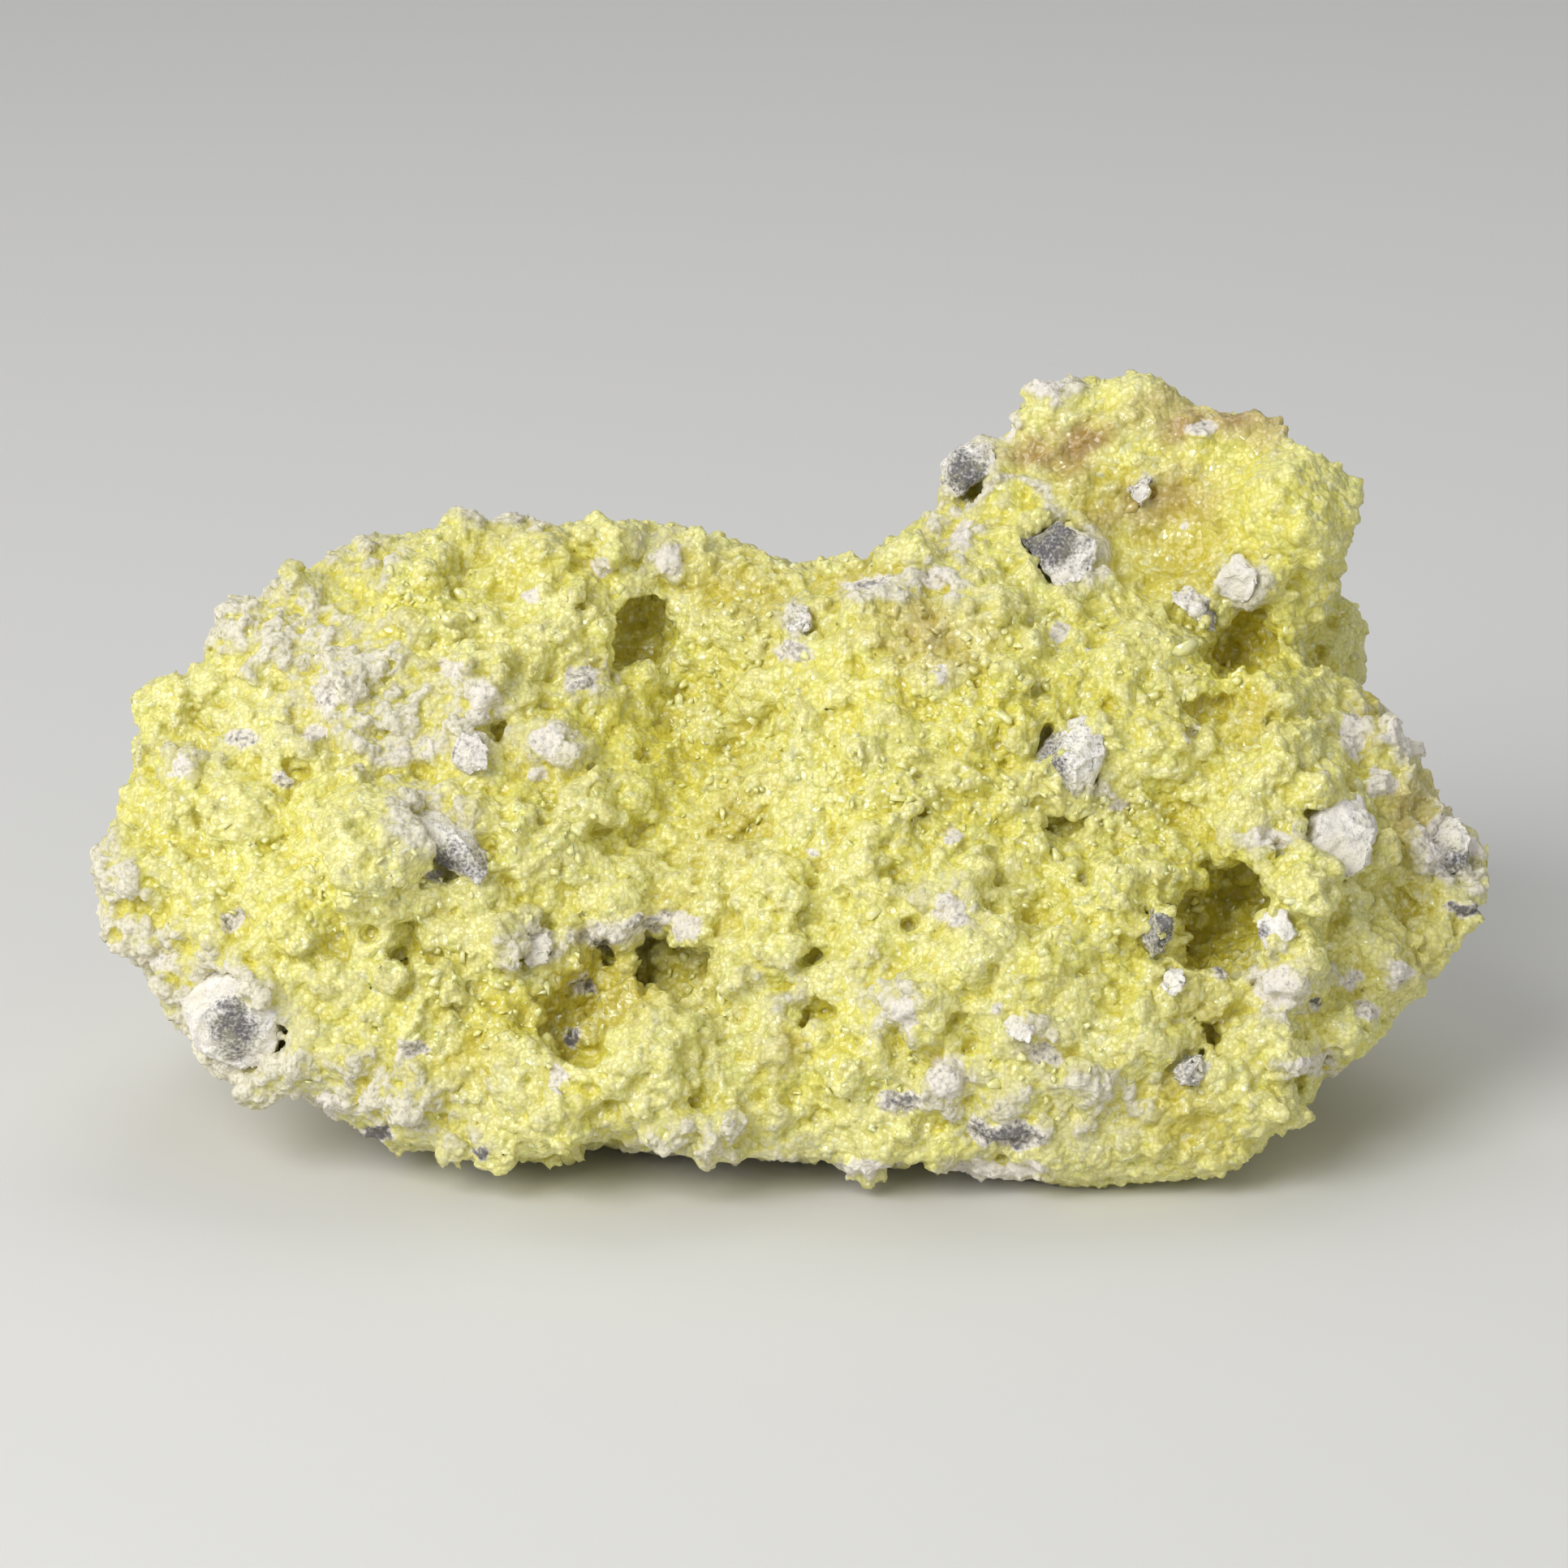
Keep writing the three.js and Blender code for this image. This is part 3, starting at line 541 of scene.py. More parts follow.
# Bits of the same rock, from white through grey to nearly black, that the crust has grown over and
# holds, as [x, y, half width, half height, darkness].
ROCK_CRUMBS = [
    (980, 800, 20, 13, 0.35), (1065, 718, 28, 7, 0.3), (1160, 832, 10, 14, 0.05),
    (1305, 775, 11, 12, 0.1), (1462, 652, 6, 6, 0.05),
    (1481, 528, 18, 10, 0.15), (1290, 478, 20, 12, 0.15), (1240, 521, 10, 16, 0.05),
    (1188, 660, 9, 24, 0.0), (1150, 716, 18, 12, 0.05), (285, 1132, 16, 15, 0.4),
    (224, 941, 13, 13, 0.1), (346, 957, 13, 10, 0.3), (300, 910, 20, 11, 0.35),
    (505, 1287, 18, 11, 0.4), (685, 1330, 9, 11, 0.15), (706, 1276, 10, 12, 0.8),
    (724, 1214, 14, 12, 0.6), (742, 1163, 13, 10, 0.6), (805, 1135, 28, 9, 0.4),
    (852, 1140, 14, 14, 0.05), (1000, 1048, 6, 6, 0.3), (1175, 1034, 12, 9, 0.1),
    (1112, 1355, 25, 10, 0.5), (1170, 1325, 20, 24, 0.1), (1245, 1400, 38, 11, 0.65),
    (1206, 1388, 14, 9, 0.5), (1110, 1250, 16, 19, 0.05), (1165, 1112, 19, 15, 0.05),
    (1176, 1131, 12, 9, 0.25), (1502, 1206, 11, 7, 0.5), (1568, 1213, 25, 21, 0.0),
    (1564, 1032, 21, 10, 0.05), (1666, 905, 12, 30, 0.12), (1717, 905, 9, 18, 0.05),
    (1748, 919, 18, 15, 0.0), (1702, 966, 20, 16, 0.1), (1775, 1030, 19, 25, 0.15),
    (1819, 1036, 9, 12, 0.0), (1800, 1114, 23, 9, 0.85), (1728, 1198, 12, 14, 0.0),
    (1682, 1249, 16, 12, 0.3), (1665, 1208, 15, 7, 0.2), (1614, 1306, 15, 7, 0.0),
    (1618, 1238, 6, 9, 0.8), (1290, 1304, 17, 12, 0.2), (1480, 1316, 13, 13, 0.3),
    (460, 1402, 22, 9, 0.9), (590, 1419, 16, 7, 0.95), (405, 1360, 13, 13, 0.0),
    (715, 836, 17, 11, 0.3), (672, 918, 15, 18, 0.05), (593, 868, 18, 22, 0.05),
    (740, 700, 9, 9, 0.1), (650, 735, 11, 10, 0.05), (830, 690, 16, 18, 0.05),
    (1056, 1438, 28, 9, 0.0), (1230, 1440, 55, 10, 0.0), (1343, 795, 4, 5, 0.9),
    (660, 952, 9, 8, 0.1), (560, 828, 14, 12, 0.05), (406, 858, 12, 14, 0.1),
    (390, 905, 16, 12, 0.1), (1235, 1245, 8, 8, 0.1), (1385, 990, 12, 8, 0.05),
]
# Where the crust is white and chalky, rich yellow, painted with shade of a darker olive yellow, ashy
# grey or tan, as [x, y, half width, half height, strength].
CHALK_SPOTS = [
    (330, 775, 100, 56, 0.9), (450, 690, 60, 36, 0.5), (440, 820, 90, 70, 0.7),
    (620, 640, 70, 16, 0.8), (820, 690, 50, 34, 0.5), (505, 905, 120, 54, 0.8),
    (588, 868, 34, 38, 0.8), (130, 1090, 46, 80, 0.7), (170, 1180, 60, 40, 0.7),
    (285, 1245, 90, 74, 1.0), (400, 1340, 130, 56, 0.7), (530, 1370, 90, 46, 0.5),
    (520, 1010, 54, 40, 1.0), (680, 915, 34, 32, 0.8), (715, 835, 30, 30, 0.6),
    (665, 1160, 46, 38, 0.8), (240, 930, 70, 36, 0.4), (1190, 650, 40, 44, 0.8),
    (1150, 715, 44, 24, 0.8), (1230, 606, 60, 10, 0.9), (1310, 614, 40, 12, 1.0),
    (1330, 690, 34, 46, 0.9), (1196, 565, 44, 30, 1.0), (1240, 522, 20, 26, 0.9),
    (1297, 475, 34, 20, 1.0), (1090, 1240, 44, 44, 0.6), (1175, 1110, 44, 34, 0.6),
    (1180, 1340, 50, 50, 0.6), (1240, 1385, 80, 26, 0.5), (1230, 1446, 80, 22, 1.0),
    (1056, 1441, 40, 16, 1.0), (1566, 1212, 42, 36, 0.9), (1560, 1032, 40, 20, 0.8),
    (1665, 905, 24, 50, 0.9), (1716, 905, 22, 30, 0.9), (1748, 925, 30, 30, 1.0),
    (1775, 1040, 34, 46, 0.7), (1816, 1050, 22, 44, 0.8), (1728, 1198, 26, 22, 0.8),
    (1625, 1316, 46, 22, 0.8), (1385, 1350, 50, 30, 0.5), (1280, 1290, 40, 30, 0.5),
    (1130, 735, 80, 18, 0.6), (1080, 720, 60, 14, 0.7), (960, 1210, 40, 36, 0.4),
    (1375, 985, 36, 16, 0.7), (1320, 660, 40, 16, 0.8), (1170, 835, 24, 30, 0.4),
    (1406, 600, 20, 26, 0.9), (1526, 712, 30, 32, 0.9), (225, 1330, 60, 40, 0.5),
    (1660, 1215, 30, 16, 0.6), (1290, 1340, 60, 40, 0.35), (980, 760, 22, 26, 0.5),
    (860, 1405, 150, 40, 0.5), (1370, 1380, 60, 40, 0.5),
]
RICH_SPOTS = [
    (800, 950, 70, 110, 1.0), (1060, 850, 120, 110, 0.9), (1250, 870, 60, 60, 0.8),
    (1010, 1290, 80, 70, 0.4), (1500, 1125, 80, 90, 1.0), (650, 1240, 70, 50, 0.8),
    (1260, 1200, 130, 80, 0.2), (790, 1330, 120, 70, 0.1), (1600, 690, 70, 110, 0.35),
    (1390, 840, 120, 80, 0.4), (450, 1085, 110, 80, 0.35), (1530, 640, 150, 110, 0.8),
    (1600, 950, 50, 60, 0.1), (1530, 800, 60, 50, 0.9), (1120, 1020, 90, 50, 0.4),
    (240, 1010, 70, 60, 0.3), (900, 1380, 90, 50, 0.1), (1240, 640, 60, 40, 0.5),
    (520, 735, 60, 50, 0.5), (1350, 1190, 80, 60, 0.3), (1470, 1390, 70, 40, 0.6),
]
# Painted shade on spots that lie in shadow.
PAINTED_SHADE_SPOTS = [
    (745, 1228, 64, 50, 1.4), (690, 1272, 34, 28, 0.8), (1500, 1125, 66, 62, 0.4),
    (1440, 670, 70, 50, 0.3), (900, 900, 60, 100, 0.1), (1530, 790, 48, 44, 0.7),
    (1280, 900, 24, 16, 0.5), (1745, 1150, 60, 80, 0.45), (780, 780, 30, 40, 0.5),
    (1700, 1020, 50, 40, 0.1), (1490, 1260, 30, 50, 0.4), (862, 1196, 40, 26, 0.5),
    (1660, 860, 50, 50, 0.1), (1010, 1060, 24, 40, 0.2), (640, 1250, 50, 24, 0.6),
    (1690, 1230, 60, 50, 0.2), (1400, 1010, 80, 20, 0.15), (1240, 1070, 24, 18, 0.3),
    (890, 1030, 60, 50, 0.3), (690, 780, 50, 60, 0.1), (905, 1010, 44, 44, 0.6),
    (1500, 905, 90, 30, 0.3), (1370, 620, 60, 30, 0.25), (880, 1080, 50, 50, 0.2),
    (1460, 1186, 36, 22, 0.8), (1460, 1245, 40, 36, 0.4),
    (1465, 1390, 60, 60, 0.8), (1460, 702, 50, 30, 0.7), (1542, 882, 44, 34, 0.9),
    (580, 1298, 50, 40, 0.6), (815, 1122, 50, 24, 0.5), (640, 935, 60, 40, 0.35),
    (1702, 890, 34, 50, 1.0), (1340, 585, 70, 24, 0.5), (920, 735, 90, 50, 0.8),
    (1060, 705, 50, 24, 0.8), (640, 665, 90, 36, 0.4), (1220, 770, 50, 30, 0.3),
]
ASH_SPOTS = [
    (410, 855, 50, 30, 0.4), (505, 925, 80, 26, 0.5), (430, 1360, 60, 30, 0.3),
    (752, 1148, 56, 18, 0.8), (195, 1180, 26, 22, 0.6), (1640, 1300, 10, 20, 0.4),
    (540, 1074, 20, 10, 0.7), (1470, 905, 12, 8, 0.5), (640, 910, 20, 10, 0.3),
    (1245, 1400, 54, 13, 0.6), (1112, 1355, 34, 18, 0.5), (1785, 1064, 26, 18, 0.8),
    (1290, 1302, 22, 16, 0.4), (710, 835, 24, 16, 0.5), (1066, 716, 30, 8, 0.6),
]
TAN_SPOTS = [
    (1341, 530, 34, 20, 1.0), (1312, 560, 40, 22, 0.8), (1265, 560, 30, 30, 0.4),
    (1459, 530, 26, 24, 0.8), (1500, 520, 40, 18, 0.5), (1560, 530, 50, 24, 0.4),
    (1420, 500, 50, 24, 0.3), (1400, 630, 60, 34, 0.5), (1440, 600, 30, 30, 0.3),
    (1150, 800, 60, 40, 0.2), (1110, 770, 60, 30, 0.2), (960, 1290, 30, 30, 0.2),
    (1480, 620, 30, 40, 0.3), (1750, 1010, 40, 60, 0.3),
]

form, form_triangles, form_edges = read_mesh(even_skin(joined("sulfur_mass"), FORM_VOXEL))
form = relaxed(form, form_edges, 5)
form_broad = unit(relaxed(outward_of(form, form_triangles), form_edges, 12))

# The front ends where the sides are four tenths of the way forward from the farthest to the
# nearest skin, and further back in the hollows, looked up on squares of 1.5 mm that are then
# blurred. The hollows are given as [x, y, half width, half height, strength].
SQUARE = 1.5 * MM
SQUARES = (120, 90)
FRONT_SHARE = 0.4
HOLLOW_DROP = 0.3
HOLLOWS = [
    (1500, 1125, 100, 96, 1.0), (797, 790, 70, 80, 1.0), (800, 1190, 150, 80, 1.0),
    (705, 1262, 60, 60, 1.0), (1528, 800, 80, 70, 1.0),
]


def square_of(points):
    """The numbers of the square in which the eye sees each point."""
    away = points - plane_middle
    across = np.floor((away @ RIGHT) / SQUARE + SQUARES[0] / 2)
    down = np.floor((away @ UP) / SQUARE + SQUARES[1] / 2)
    return np.clip(across, 0, SQUARES[0] - 1).astype(int), np.clip(down, 0, SQUARES[1] - 1).astype(int)


form_toward = (form - plane_middle) @ TOWARD
nearest_skin = np.full(SQUARES, -1.0)
farthest_skin = np.full(SQUARES, 1.0)
np.maximum.at(nearest_skin, square_of(form), form_toward)
np.minimum.at(farthest_skin, square_of(form), form_toward)
filled = (nearest_skin > -1).astype(float)
across, up = np.indices(SQUARES).reshape(2, -1) + 0.5
across = (across - SQUARES[0] / 2) * SQUARE / PX
down = (SQUARES[1] / 2 - up) * SQUARE / PX
share = patches(PICTURE_MIDDLE + np.stack([across, down], axis=1), HOLLOWS).reshape(SQUARES)
share = FRONT_SHARE - HOLLOW_DROP * np.clip(share, 0, 1)
limit = np.where(filled > 0, farthest_skin + share * (nearest_skin - farthest_skin), 0)
for _ in range(4):
    for axis in (0, 1):
        limit = limit + np.roll(limit, 1, axis) + np.roll(limit, -1, axis)
        filled = filled + np.roll(filled, 1, axis) + np.roll(filled, -1, axis)
limit = limit / np.maximum(filled, 1e-9)


def ahead(points):
    """How far points lie in front of where the front ends."""
    return (points - plane_middle) @ TOWARD - limit[square_of(points)]


def ragged_pixels(points, reach):
    """Where the points are seen, moved by up to `reach` pixels of noise, so that a spot laid at
    these pixels has a ragged edge."""
    return seen(points) + reach * hazes(points, 6 * MM, (5, 6), 4)


def bent(points):
    """Points moved by up to 2 mm of noise, so that the lumps laid out on them aren't round."""
    return points + 2.0 * MM * hazes(points, 5 * MM, (40, 41, 42), 4)


# The front counts as facing the eye. The lobe's face is calm, nearly smooth.
facing = np.clip(0.2 + ahead(form) / FRONT_FADE, 0, 1)
calm = 1 - 0.85 * patches(seen(form), [(1480, 620, 290, 190, 1.0)]) * facing
edge_on = np.clip(1.5 - np.abs(form_broad @ TOWARD) / 0.35, 0, 1) * (form[:, 2] > 3 * MM)
rough = np.clip(0.75 + 0.8 * haze(form, 14 * MM, 60), 0.3, 1.4) * calm
large_near = seeds(bent(form), LARGE_LUMP, 1)[0]
middle_near, middle_far, _, middle_face, _ = seeds(bent(form), MIDDLE_LUMP, 2)
pits = np.clip(haze(form, 3.6 * MM, 61, 2) - 0.30, 0, 0.5) * rough
# How far the form grows out, in millimetres: rounded lumps of two sizes, clefts between the smaller
# ones, their tilted faces, pits, and less where the eye sees the form edge on.
growth = (
    2.4 * (0.38 - large_near**2) * calm
    + 1.7 * (0.38 - middle_near**1.8) * rough
    - 0.7 * np.clip(1 - (middle_far - middle_near) / 0.25, 0, 1) * rough
    + 1.2 * middle_face * rough
    - 6.0 * pits
    - 0.7
    - 0.8 * edge_on
)
beside = near_rock(form, 1.7)
growth = growth * (1 - 0.5 * beside) + 1.5 * beside * (1 + haze(form, 2.5 * MM, 63))
growth += patches(ragged_pixels(form, 16), RELIEF_SPOTS) * facing * (1 - 0.6 * beside)
growth = growth - np.maximum(growth, 0) * edge_on
growth = growth * np.clip(form[:, 2] / (1.2 * MM), 0, 1) * MM
grown = form + form_broad * growth[:, None]
grown_outward = outward_of(grown, form_triangles)

# Blocks that the crumbs are made of: a rounded lump, a stubby prism and a flat-topped grain.
CRUMB_BLOCKS = [
    [
        (0, 0.53, 0.85), (0, -0.53, 0.85), (0, 0.53, -0.85), (0, -0.53, -0.85),
        (0.53, 0.85, 0), (-0.53, 0.85, 0), (0.53, -0.85, 0), (-0.53, -0.85, 0),
        (0.85, 0, 0.53), (0.85, 0, -0.53), (-0.85, 0, 0.53), (-0.85, 0, -0.53),
    ],
    [
        (0.7, 0.5, -0.8), (-0.6, 0.6, -0.7), (-0.7, -0.5, -0.8), (0.6, -0.6, -0.7),
        (0.6, 0.6, 0.7), (-0.7, 0.5, 0.6), (-0.6, -0.6, 0.7), (0.7, -0.5, 0.8),
    ],
    [
        (1, 0.2, 0.1), (-0.9, 0.4, 0), (0.1, 1, -0.2), (0, -1, 0.2), (0.7, -0.7, 0),
        (0.5, 0.1, 0.8), (-0.5, -0.3, 0.8), (-0.4, 0.5, 0.7), (0, 0, -0.9),
    ],
]


def block_faces(corners):
    """The triangles of the smallest closed block round a few corners, as corner numbers."""
    work = bmesh.new()
    for corner in corners:
        work.verts.new(corner)
    bmesh.ops.convex_hull(work, input=work.verts)
    bmesh.ops.recalc_face_normals(work, faces=work.faces)
    bmesh.ops.triangulate(work, faces=work.faces)
    work.verts.ensure_lookup_table()
    work.verts.index_update()
    faces = np.array([[v.index for v in f.verts] for f in work.faces])
    work.free()
    return faces


def standing(chance, lean, spread):
    """Turns, as 3 by 3 matrices, whose third axis stands along `lean`, tilted by a chance amount
    of about `spread` and spun by a chance angle."""
    axis = unit(lean + spread * chance.normal(size=lean.shape))
    side = unit(np.cross(axis, chance.normal(size=lean.shape)))
    return np.stack([side, np.cross(axis, side), axis], axis=2)


def many_blocks(blocks, kinds, places, turned, stretch):
    """Many small blocks as arrays: each block's corners are stretched, turned and moved to its
    place. Gives the points, the triangles and the number of the block that each point is of."""
    points, triangles, owners = [], [], []
    first = 0
    for kind, corners in enumerate(blocks):
        chosen = np.flatnonzero(kinds == kind)
        shape = np.array(corners, float)[None] * stretch[chosen][:, None, :]
        made = np.einsum("nij,nkj->nki", turned[chosen], shape) + places[chosen][:, None, :]
        starts = first + len(corners) * np.arange(len(chosen))
        points.append(made.reshape(-1, 3))
        triangles.append((block_faces(corners)[None] + starts[:, None, None]).reshape(-1, 3))
        owners.append(np.repeat(chosen, len(corners)))
        first += len(corners) * len(chosen)
    return np.concatenate(points), np.concatenate(triangles), np.concatenate(owners)


def sprinkled(chance, skin, outward, triangles, weight, count):
    """`count` places on a skin, evenly spread by area times weight: steps along the running sum
    of the triangles' shares, then a chance point of the triangle. Gives places, normals and the
    number of a near point."""
    a, b, c = (skin[triangles[:, k]] for k in range(3))
    run = np.cumsum(np.linalg.norm(np.cross(b - a, c - a), axis=1) * weight)
    steps = (np.arange(count) + chance.random(count)) / count * run[-1]
    chosen = triangles[np.searchsorted(run, steps)]
    u, v = chance.random((2, count))
    flip = u + v > 1
    u, v = np.where(flip, 1 - u, u), np.where(flip, 1 - v, v)
    share = np.stack([1 - u - v, u, v], axis=1)[:, :, None]
    lean = unit(np.sum(outward[chosen] * share, axis=1))
    return np.sum(skin[chosen] * share, axis=1), lean, chosen[:, 0]


# Knobs of 2 to 5 mm stand on the lumps, each with crumbs of a quarter to a half its size on it.
# Single crumbs lie between them and over the rocks' rims. They are larger and sparser on the back.
KNOBS = 1300
CRUMBS_ON_KNOB = 9
LOOSE_CRUMBS = 8000
chance = np.random.default_rng(17)
open_skin = np.clip(grown[form_triangles][:, :, 2].min(axis=1) / (4 * MM) - 0.5, 0, 1)
density = (0.35 + 0.65 * facing) * np.clip(1 - 3 * pits, 0.05, 1)
density = density * np.clip(0.8 + 0.9 * haze(form, 9 * MM, 64), 0.15, 1.6)
weight = open_skin * density[form_triangles].mean(axis=1)
knobs, knob_lean, under = sprinkled(chance, grown, grown_outward, form_triangles, weight, KNOBS)
knob_size = np.exp(chance.normal(0.45, 0.35, KNOBS)) * (1.25 - 0.25 * facing[under]) * MM
knob_size = knob_size * (0.4 + 0.6 * calm[under]) * (1 - 0.5 * edge_on[under])
seated = chance.uniform(-0.75, -0.05, KNOBS) - 0.5 * edge_on[under]
knobs = knobs + knob_lean * (knob_size * seated)[:, None]
way = unit(
    0.9 * np.repeat(knob_lean, CRUMBS_ON_KNOB, axis=0)
    + chance.normal(size=(KNOBS * CRUMBS_ON_KNOB, 3))
)
on_knob = np.repeat(knob_size, CRUMBS_ON_KNOB)
on_knob_size = on_knob * chance.uniform(0.25, 0.48, len(on_knob))
on_knob_place = np.repeat(knobs, CRUMBS_ON_KNOB, axis=0) + 0.92 * way * on_knob[:, None]
loose, loose_lean, under = sprinkled(
    chance, grown, grown_outward, form_triangles, weight, LOOSE_CRUMBS
)
loose_size = np.exp(chance.normal(-0.45, 0.25, LOOSE_CRUMBS)) * (1.5 - 0.5 * facing[under]) * MM
rim_size = chance.uniform(0.45, 0.9, len(rock_rims)) * MM
crumb_place = np.concatenate([knobs, on_knob_place, loose, rock_rims])
crumb_lean = np.concatenate([knob_lean, way, loose_lean, np.tile(TOWARD, (len(rock_rims), 1))])
crumb_size = np.concatenate([knob_size, on_knob_size, loose_size, rim_size])
crumb_stretch = crumb_size[:, None] * chance.uniform(0.8, 1.2, (len(crumb_size), 3))
crumb_turn = standing(chance, crumb_lean, 1.0)

# The bits of rock lie half sunk, square to the eye, on the nearest skin at their pixel.
rock_bits = np.array(ROCK_CRUMBS, float)
half = np.stack([rock_bits[:, 2], rock_bits[:, 3], 0.8 * rock_bits[:, 2:4].min(axis=1)], axis=1) * PX
gap = np.linalg.norm(seen(grown)[None] - rock_bits[:, None, :2], axis=2)
seat = np.argmax(np.where(gap < 8, ((grown - plane_middle) @ TOWARD)[None], -1), axis=1)
facing_eye = np.tile(np.stack([RIGHT, UP, TOWARD], axis=1), (len(rock_bits), 1, 1))
crumb_place = np.concatenate([crumb_place, grown[seat] + 0.2 * half[:, 2:] * TOWARD])
crumb_stretch = np.concatenate([crumb_stretch, half])
crumb_turn = np.concatenate([crumb_turn, facing_eye])
crumb_kind = chance.integers(0, 3, len(crumb_place))
crumb_kind = np.where(chance.random(len(crumb_kind)) < 0.3, 0, crumb_kind)


def largest(points, triangles, edges):
    """The largest connected part of a skin: across each edge the lower label is handed to the
    point that the higher label names, until all the points of a part hold the same label."""
    label = np.arange(len(points))
    while (label[edges[:, 0]] != label[edges[:, 1]]).any():
        ends = label[edges]
        np.minimum.at(label, ends[:, 0], ends.min(axis=1))
        np.minimum.at(label, ends[:, 1], ends.min(axis=1))
        label = label[label]
    kept = label == np.bincount(label).argmax()
    number = np.cumsum(kept) - 1
    return points[kept], number[triangles[kept[triangles[:, 0]]]], number[edges[kept[edges[:, 0]]]]


def skinned(shape, wanted, voxel):
    """The form's shape and the wanted crumbs, skinned together by the Remesh modifier."""
    points, triangles, _ = many_blocks(
        CRUMB_BLOCKS,
        crumb_kind[wanted],
        crumb_place[wanted],
        crumb_turn[wanted],
        crumb_stretch[wanted],
    )
    triangles = np.concatenate([form_triangles, triangles + len(shape)])
    loose = built("crumbs_on_form", np.concatenate([shape, points]), triangles, {})
    return largest(*read_mesh(even_skin(loose, voxel)))


def marked(points):
    """The marks that colour the crust at the points, each about 0 to 1: chalk, ash and how dark the ash
    is, tan, rich, the painted shade of the spots that lie in shade, and pick, which is a chance number
    for each grain."""
    front = np.clip(0.2 + ahead(points) / FRONT_FADE, 0, 1)
    pixels = ragged_pixels(points, 30)
    close_pixels = ragged_pixels(points, 16)
    chalk = patches(pixels, CHALK_SPOTS) * front + 0.22 * haze(points, 4 * MM, 12)
    chalk += np.clip(0.45 + 1.6 * haze(points, 26 * MM, 11, 4), 0, 1) * (1 - front)
    ash = patches(close_pixels, ASH_SPOTS) * front
    ash += np.clip(1.2 * haze(points, 17 * MM, 23, 4) - 0.75, 0, 0.5) * (1 - front)
    bit_pixels = ragged_pixels(points, 9) + 9 * hazes(points, 1.4 * MM, (7, 8))
    covered = [(x, y, a, b, 1.5) for x, y, a, b, _ in ROCK_CRUMBS]
    darkened = [(x, y, a, b, 1.2 * dark) for x, y, a, b, dark in ROCK_CRUMBS]
    dark = patches(bit_pixels, darkened) * front + 0.35 * ash
    ash += patches(bit_pixels, covered) * front
    stain = patches(pixels, TAN_SPOTS) * front * (1.4 + 0.7 * haze(points, 4 * MM, 25))
    rich = 0.2 + 0.55 * patches(pixels, RICH_SPOTS) * front + 0.35 * (1 - front)
    rich += 0.5 * haze(points, 10 * MM, 21, 4)
    # Painted shade on the spots that lie in shade.
    deep = patches(pixels, PAINTED_SHADE_SPOTS) * front
    pick = seeds(points + 0.4 * MM * haze(points, 1.5 * MM, 50)[:, None], 1.4 * MM, 4)[2]
    return {
        "chalk": np.clip(chalk, 0, 1),
        "ash": np.clip(ash, 0, 1),
        "dark": np.clip(dark, 0, 1),
        "tan": np.clip(stain, 0, 1),
        "rich": rich,
        "deep": deep,
        "pick": pick,
    }


def hollows(points, outward, edges, voxel):
    """How sheltered each point is, from -1 to 1: how far the skin stands out of it when relaxed over
    about 1, 2 and 7 mm, each in its own measure and weighed. It sets where painted shade and painted
    light go."""
    total = np.zeros(len(points))
    for reach, weight in ((1.0, 1.3), (2.2, 0.5), (7.0, 0.2)):
        soft = relaxed(points, edges, max(1, int((reach * MM / voxel) ** 2)))
        total += weight * np.sum((soft - points) * outward, axis=1) / MM
    return np.clip(total, -1, 1)


def with_painted_shade(marks, hollow):
    """Marks with painted light and shade: sheltered places get painted shade, a richer yellow and less
    chalk, and the tops are painted paler, with more chalk.
    """
    # Painted shade: the sheltered places and the spots of painted shade.
    marks["hollow"] = np.clip(np.maximum(hollow, 0) + marks.pop("deep"), 0, 1)
    # Painted shade and light: the rich yellow is raised in sheltered places and lowered on the tops.
    marks["rich"] = np.clip(marks["rich"] + 0.6 * hollow, 0, 1)
    # Painted light and shade: the tops whiter with chalk, sheltered places less chalky.
    marks["chalk"] = np.clip(1.6 * (marks["chalk"] + 0.04) * (0.5 - hollow), 0, 1)
    return marks


# The core is the whole mass, coarse and sunk under the front. The crust is the front alone, fine.
# Each is raised by grains of its own, rounded and with tilted faces, in millimetres.
SINK = 2.2 * MM
sunk = SINK * np.clip((ahead(form) - 1 * MM) / (3 * MM), 0, 1) * np.clip(form[:, 2] / MM, 0, 1)
core_shape = grown - form_broad * sunk[:, None]
core, core_triangles, core_edges = skinned(core_shape, ahead(crumb_place) < 4 * MM, CORE_VOXEL)
core = relaxed(core, core_edges, 1)
core_outward = outward_of(core, core_triangles)
core_near, _, _, core_face, _ = seeds(core, 2.4 * MM, 67)
raised = 0.7 * (0.5 - core_near**1.5) + 1.0 * core_face + 0.25 * haze(core, 2 * MM, 62)
core_skin = core + core_outward * (raised * MM)[:, None]
core_skin = kept_inside(core_skin, core)
core_marks = with_painted_shade(marked(core), hollows(core_skin, core_outward, core_edges, CORE_VOXEL))

whole, whole_triangles, whole_edges = skinned(grown, ahead(crumb_place) > -3 * MM, CRUST_VOXEL)
chosen = whole_triangles[(ahead(whole) > 0)[whole_triangles].all(axis=1)]
used, crust_triangles = np.unique(chosen, return_inverse=True)
crust_triangles = crust_triangles.reshape(-1, 3)
renumbered = np.full(len(whole), -1)
renumbered[used] = np.arange(len(used))
crust_edges = renumbered[whole_edges]
crust_edges = crust_edges[(crust_edges >= 0).all(axis=1)]
crust, crust_triangles, crust_edges = largest(whole[used], crust_triangles, crust_edges)
crust = relaxed(crust, crust_edges, 1)
crust_outward = outward_of(crust, crust_triangles)
crust_broad = unit(relaxed(crust_outward, crust_edges, 30))
grain_near, _, _, grain_face, _ = seeds(crust, 1.2 * MM, 66)
crystal_face = seeds(crust, 2.3 * MM, 68)[3]
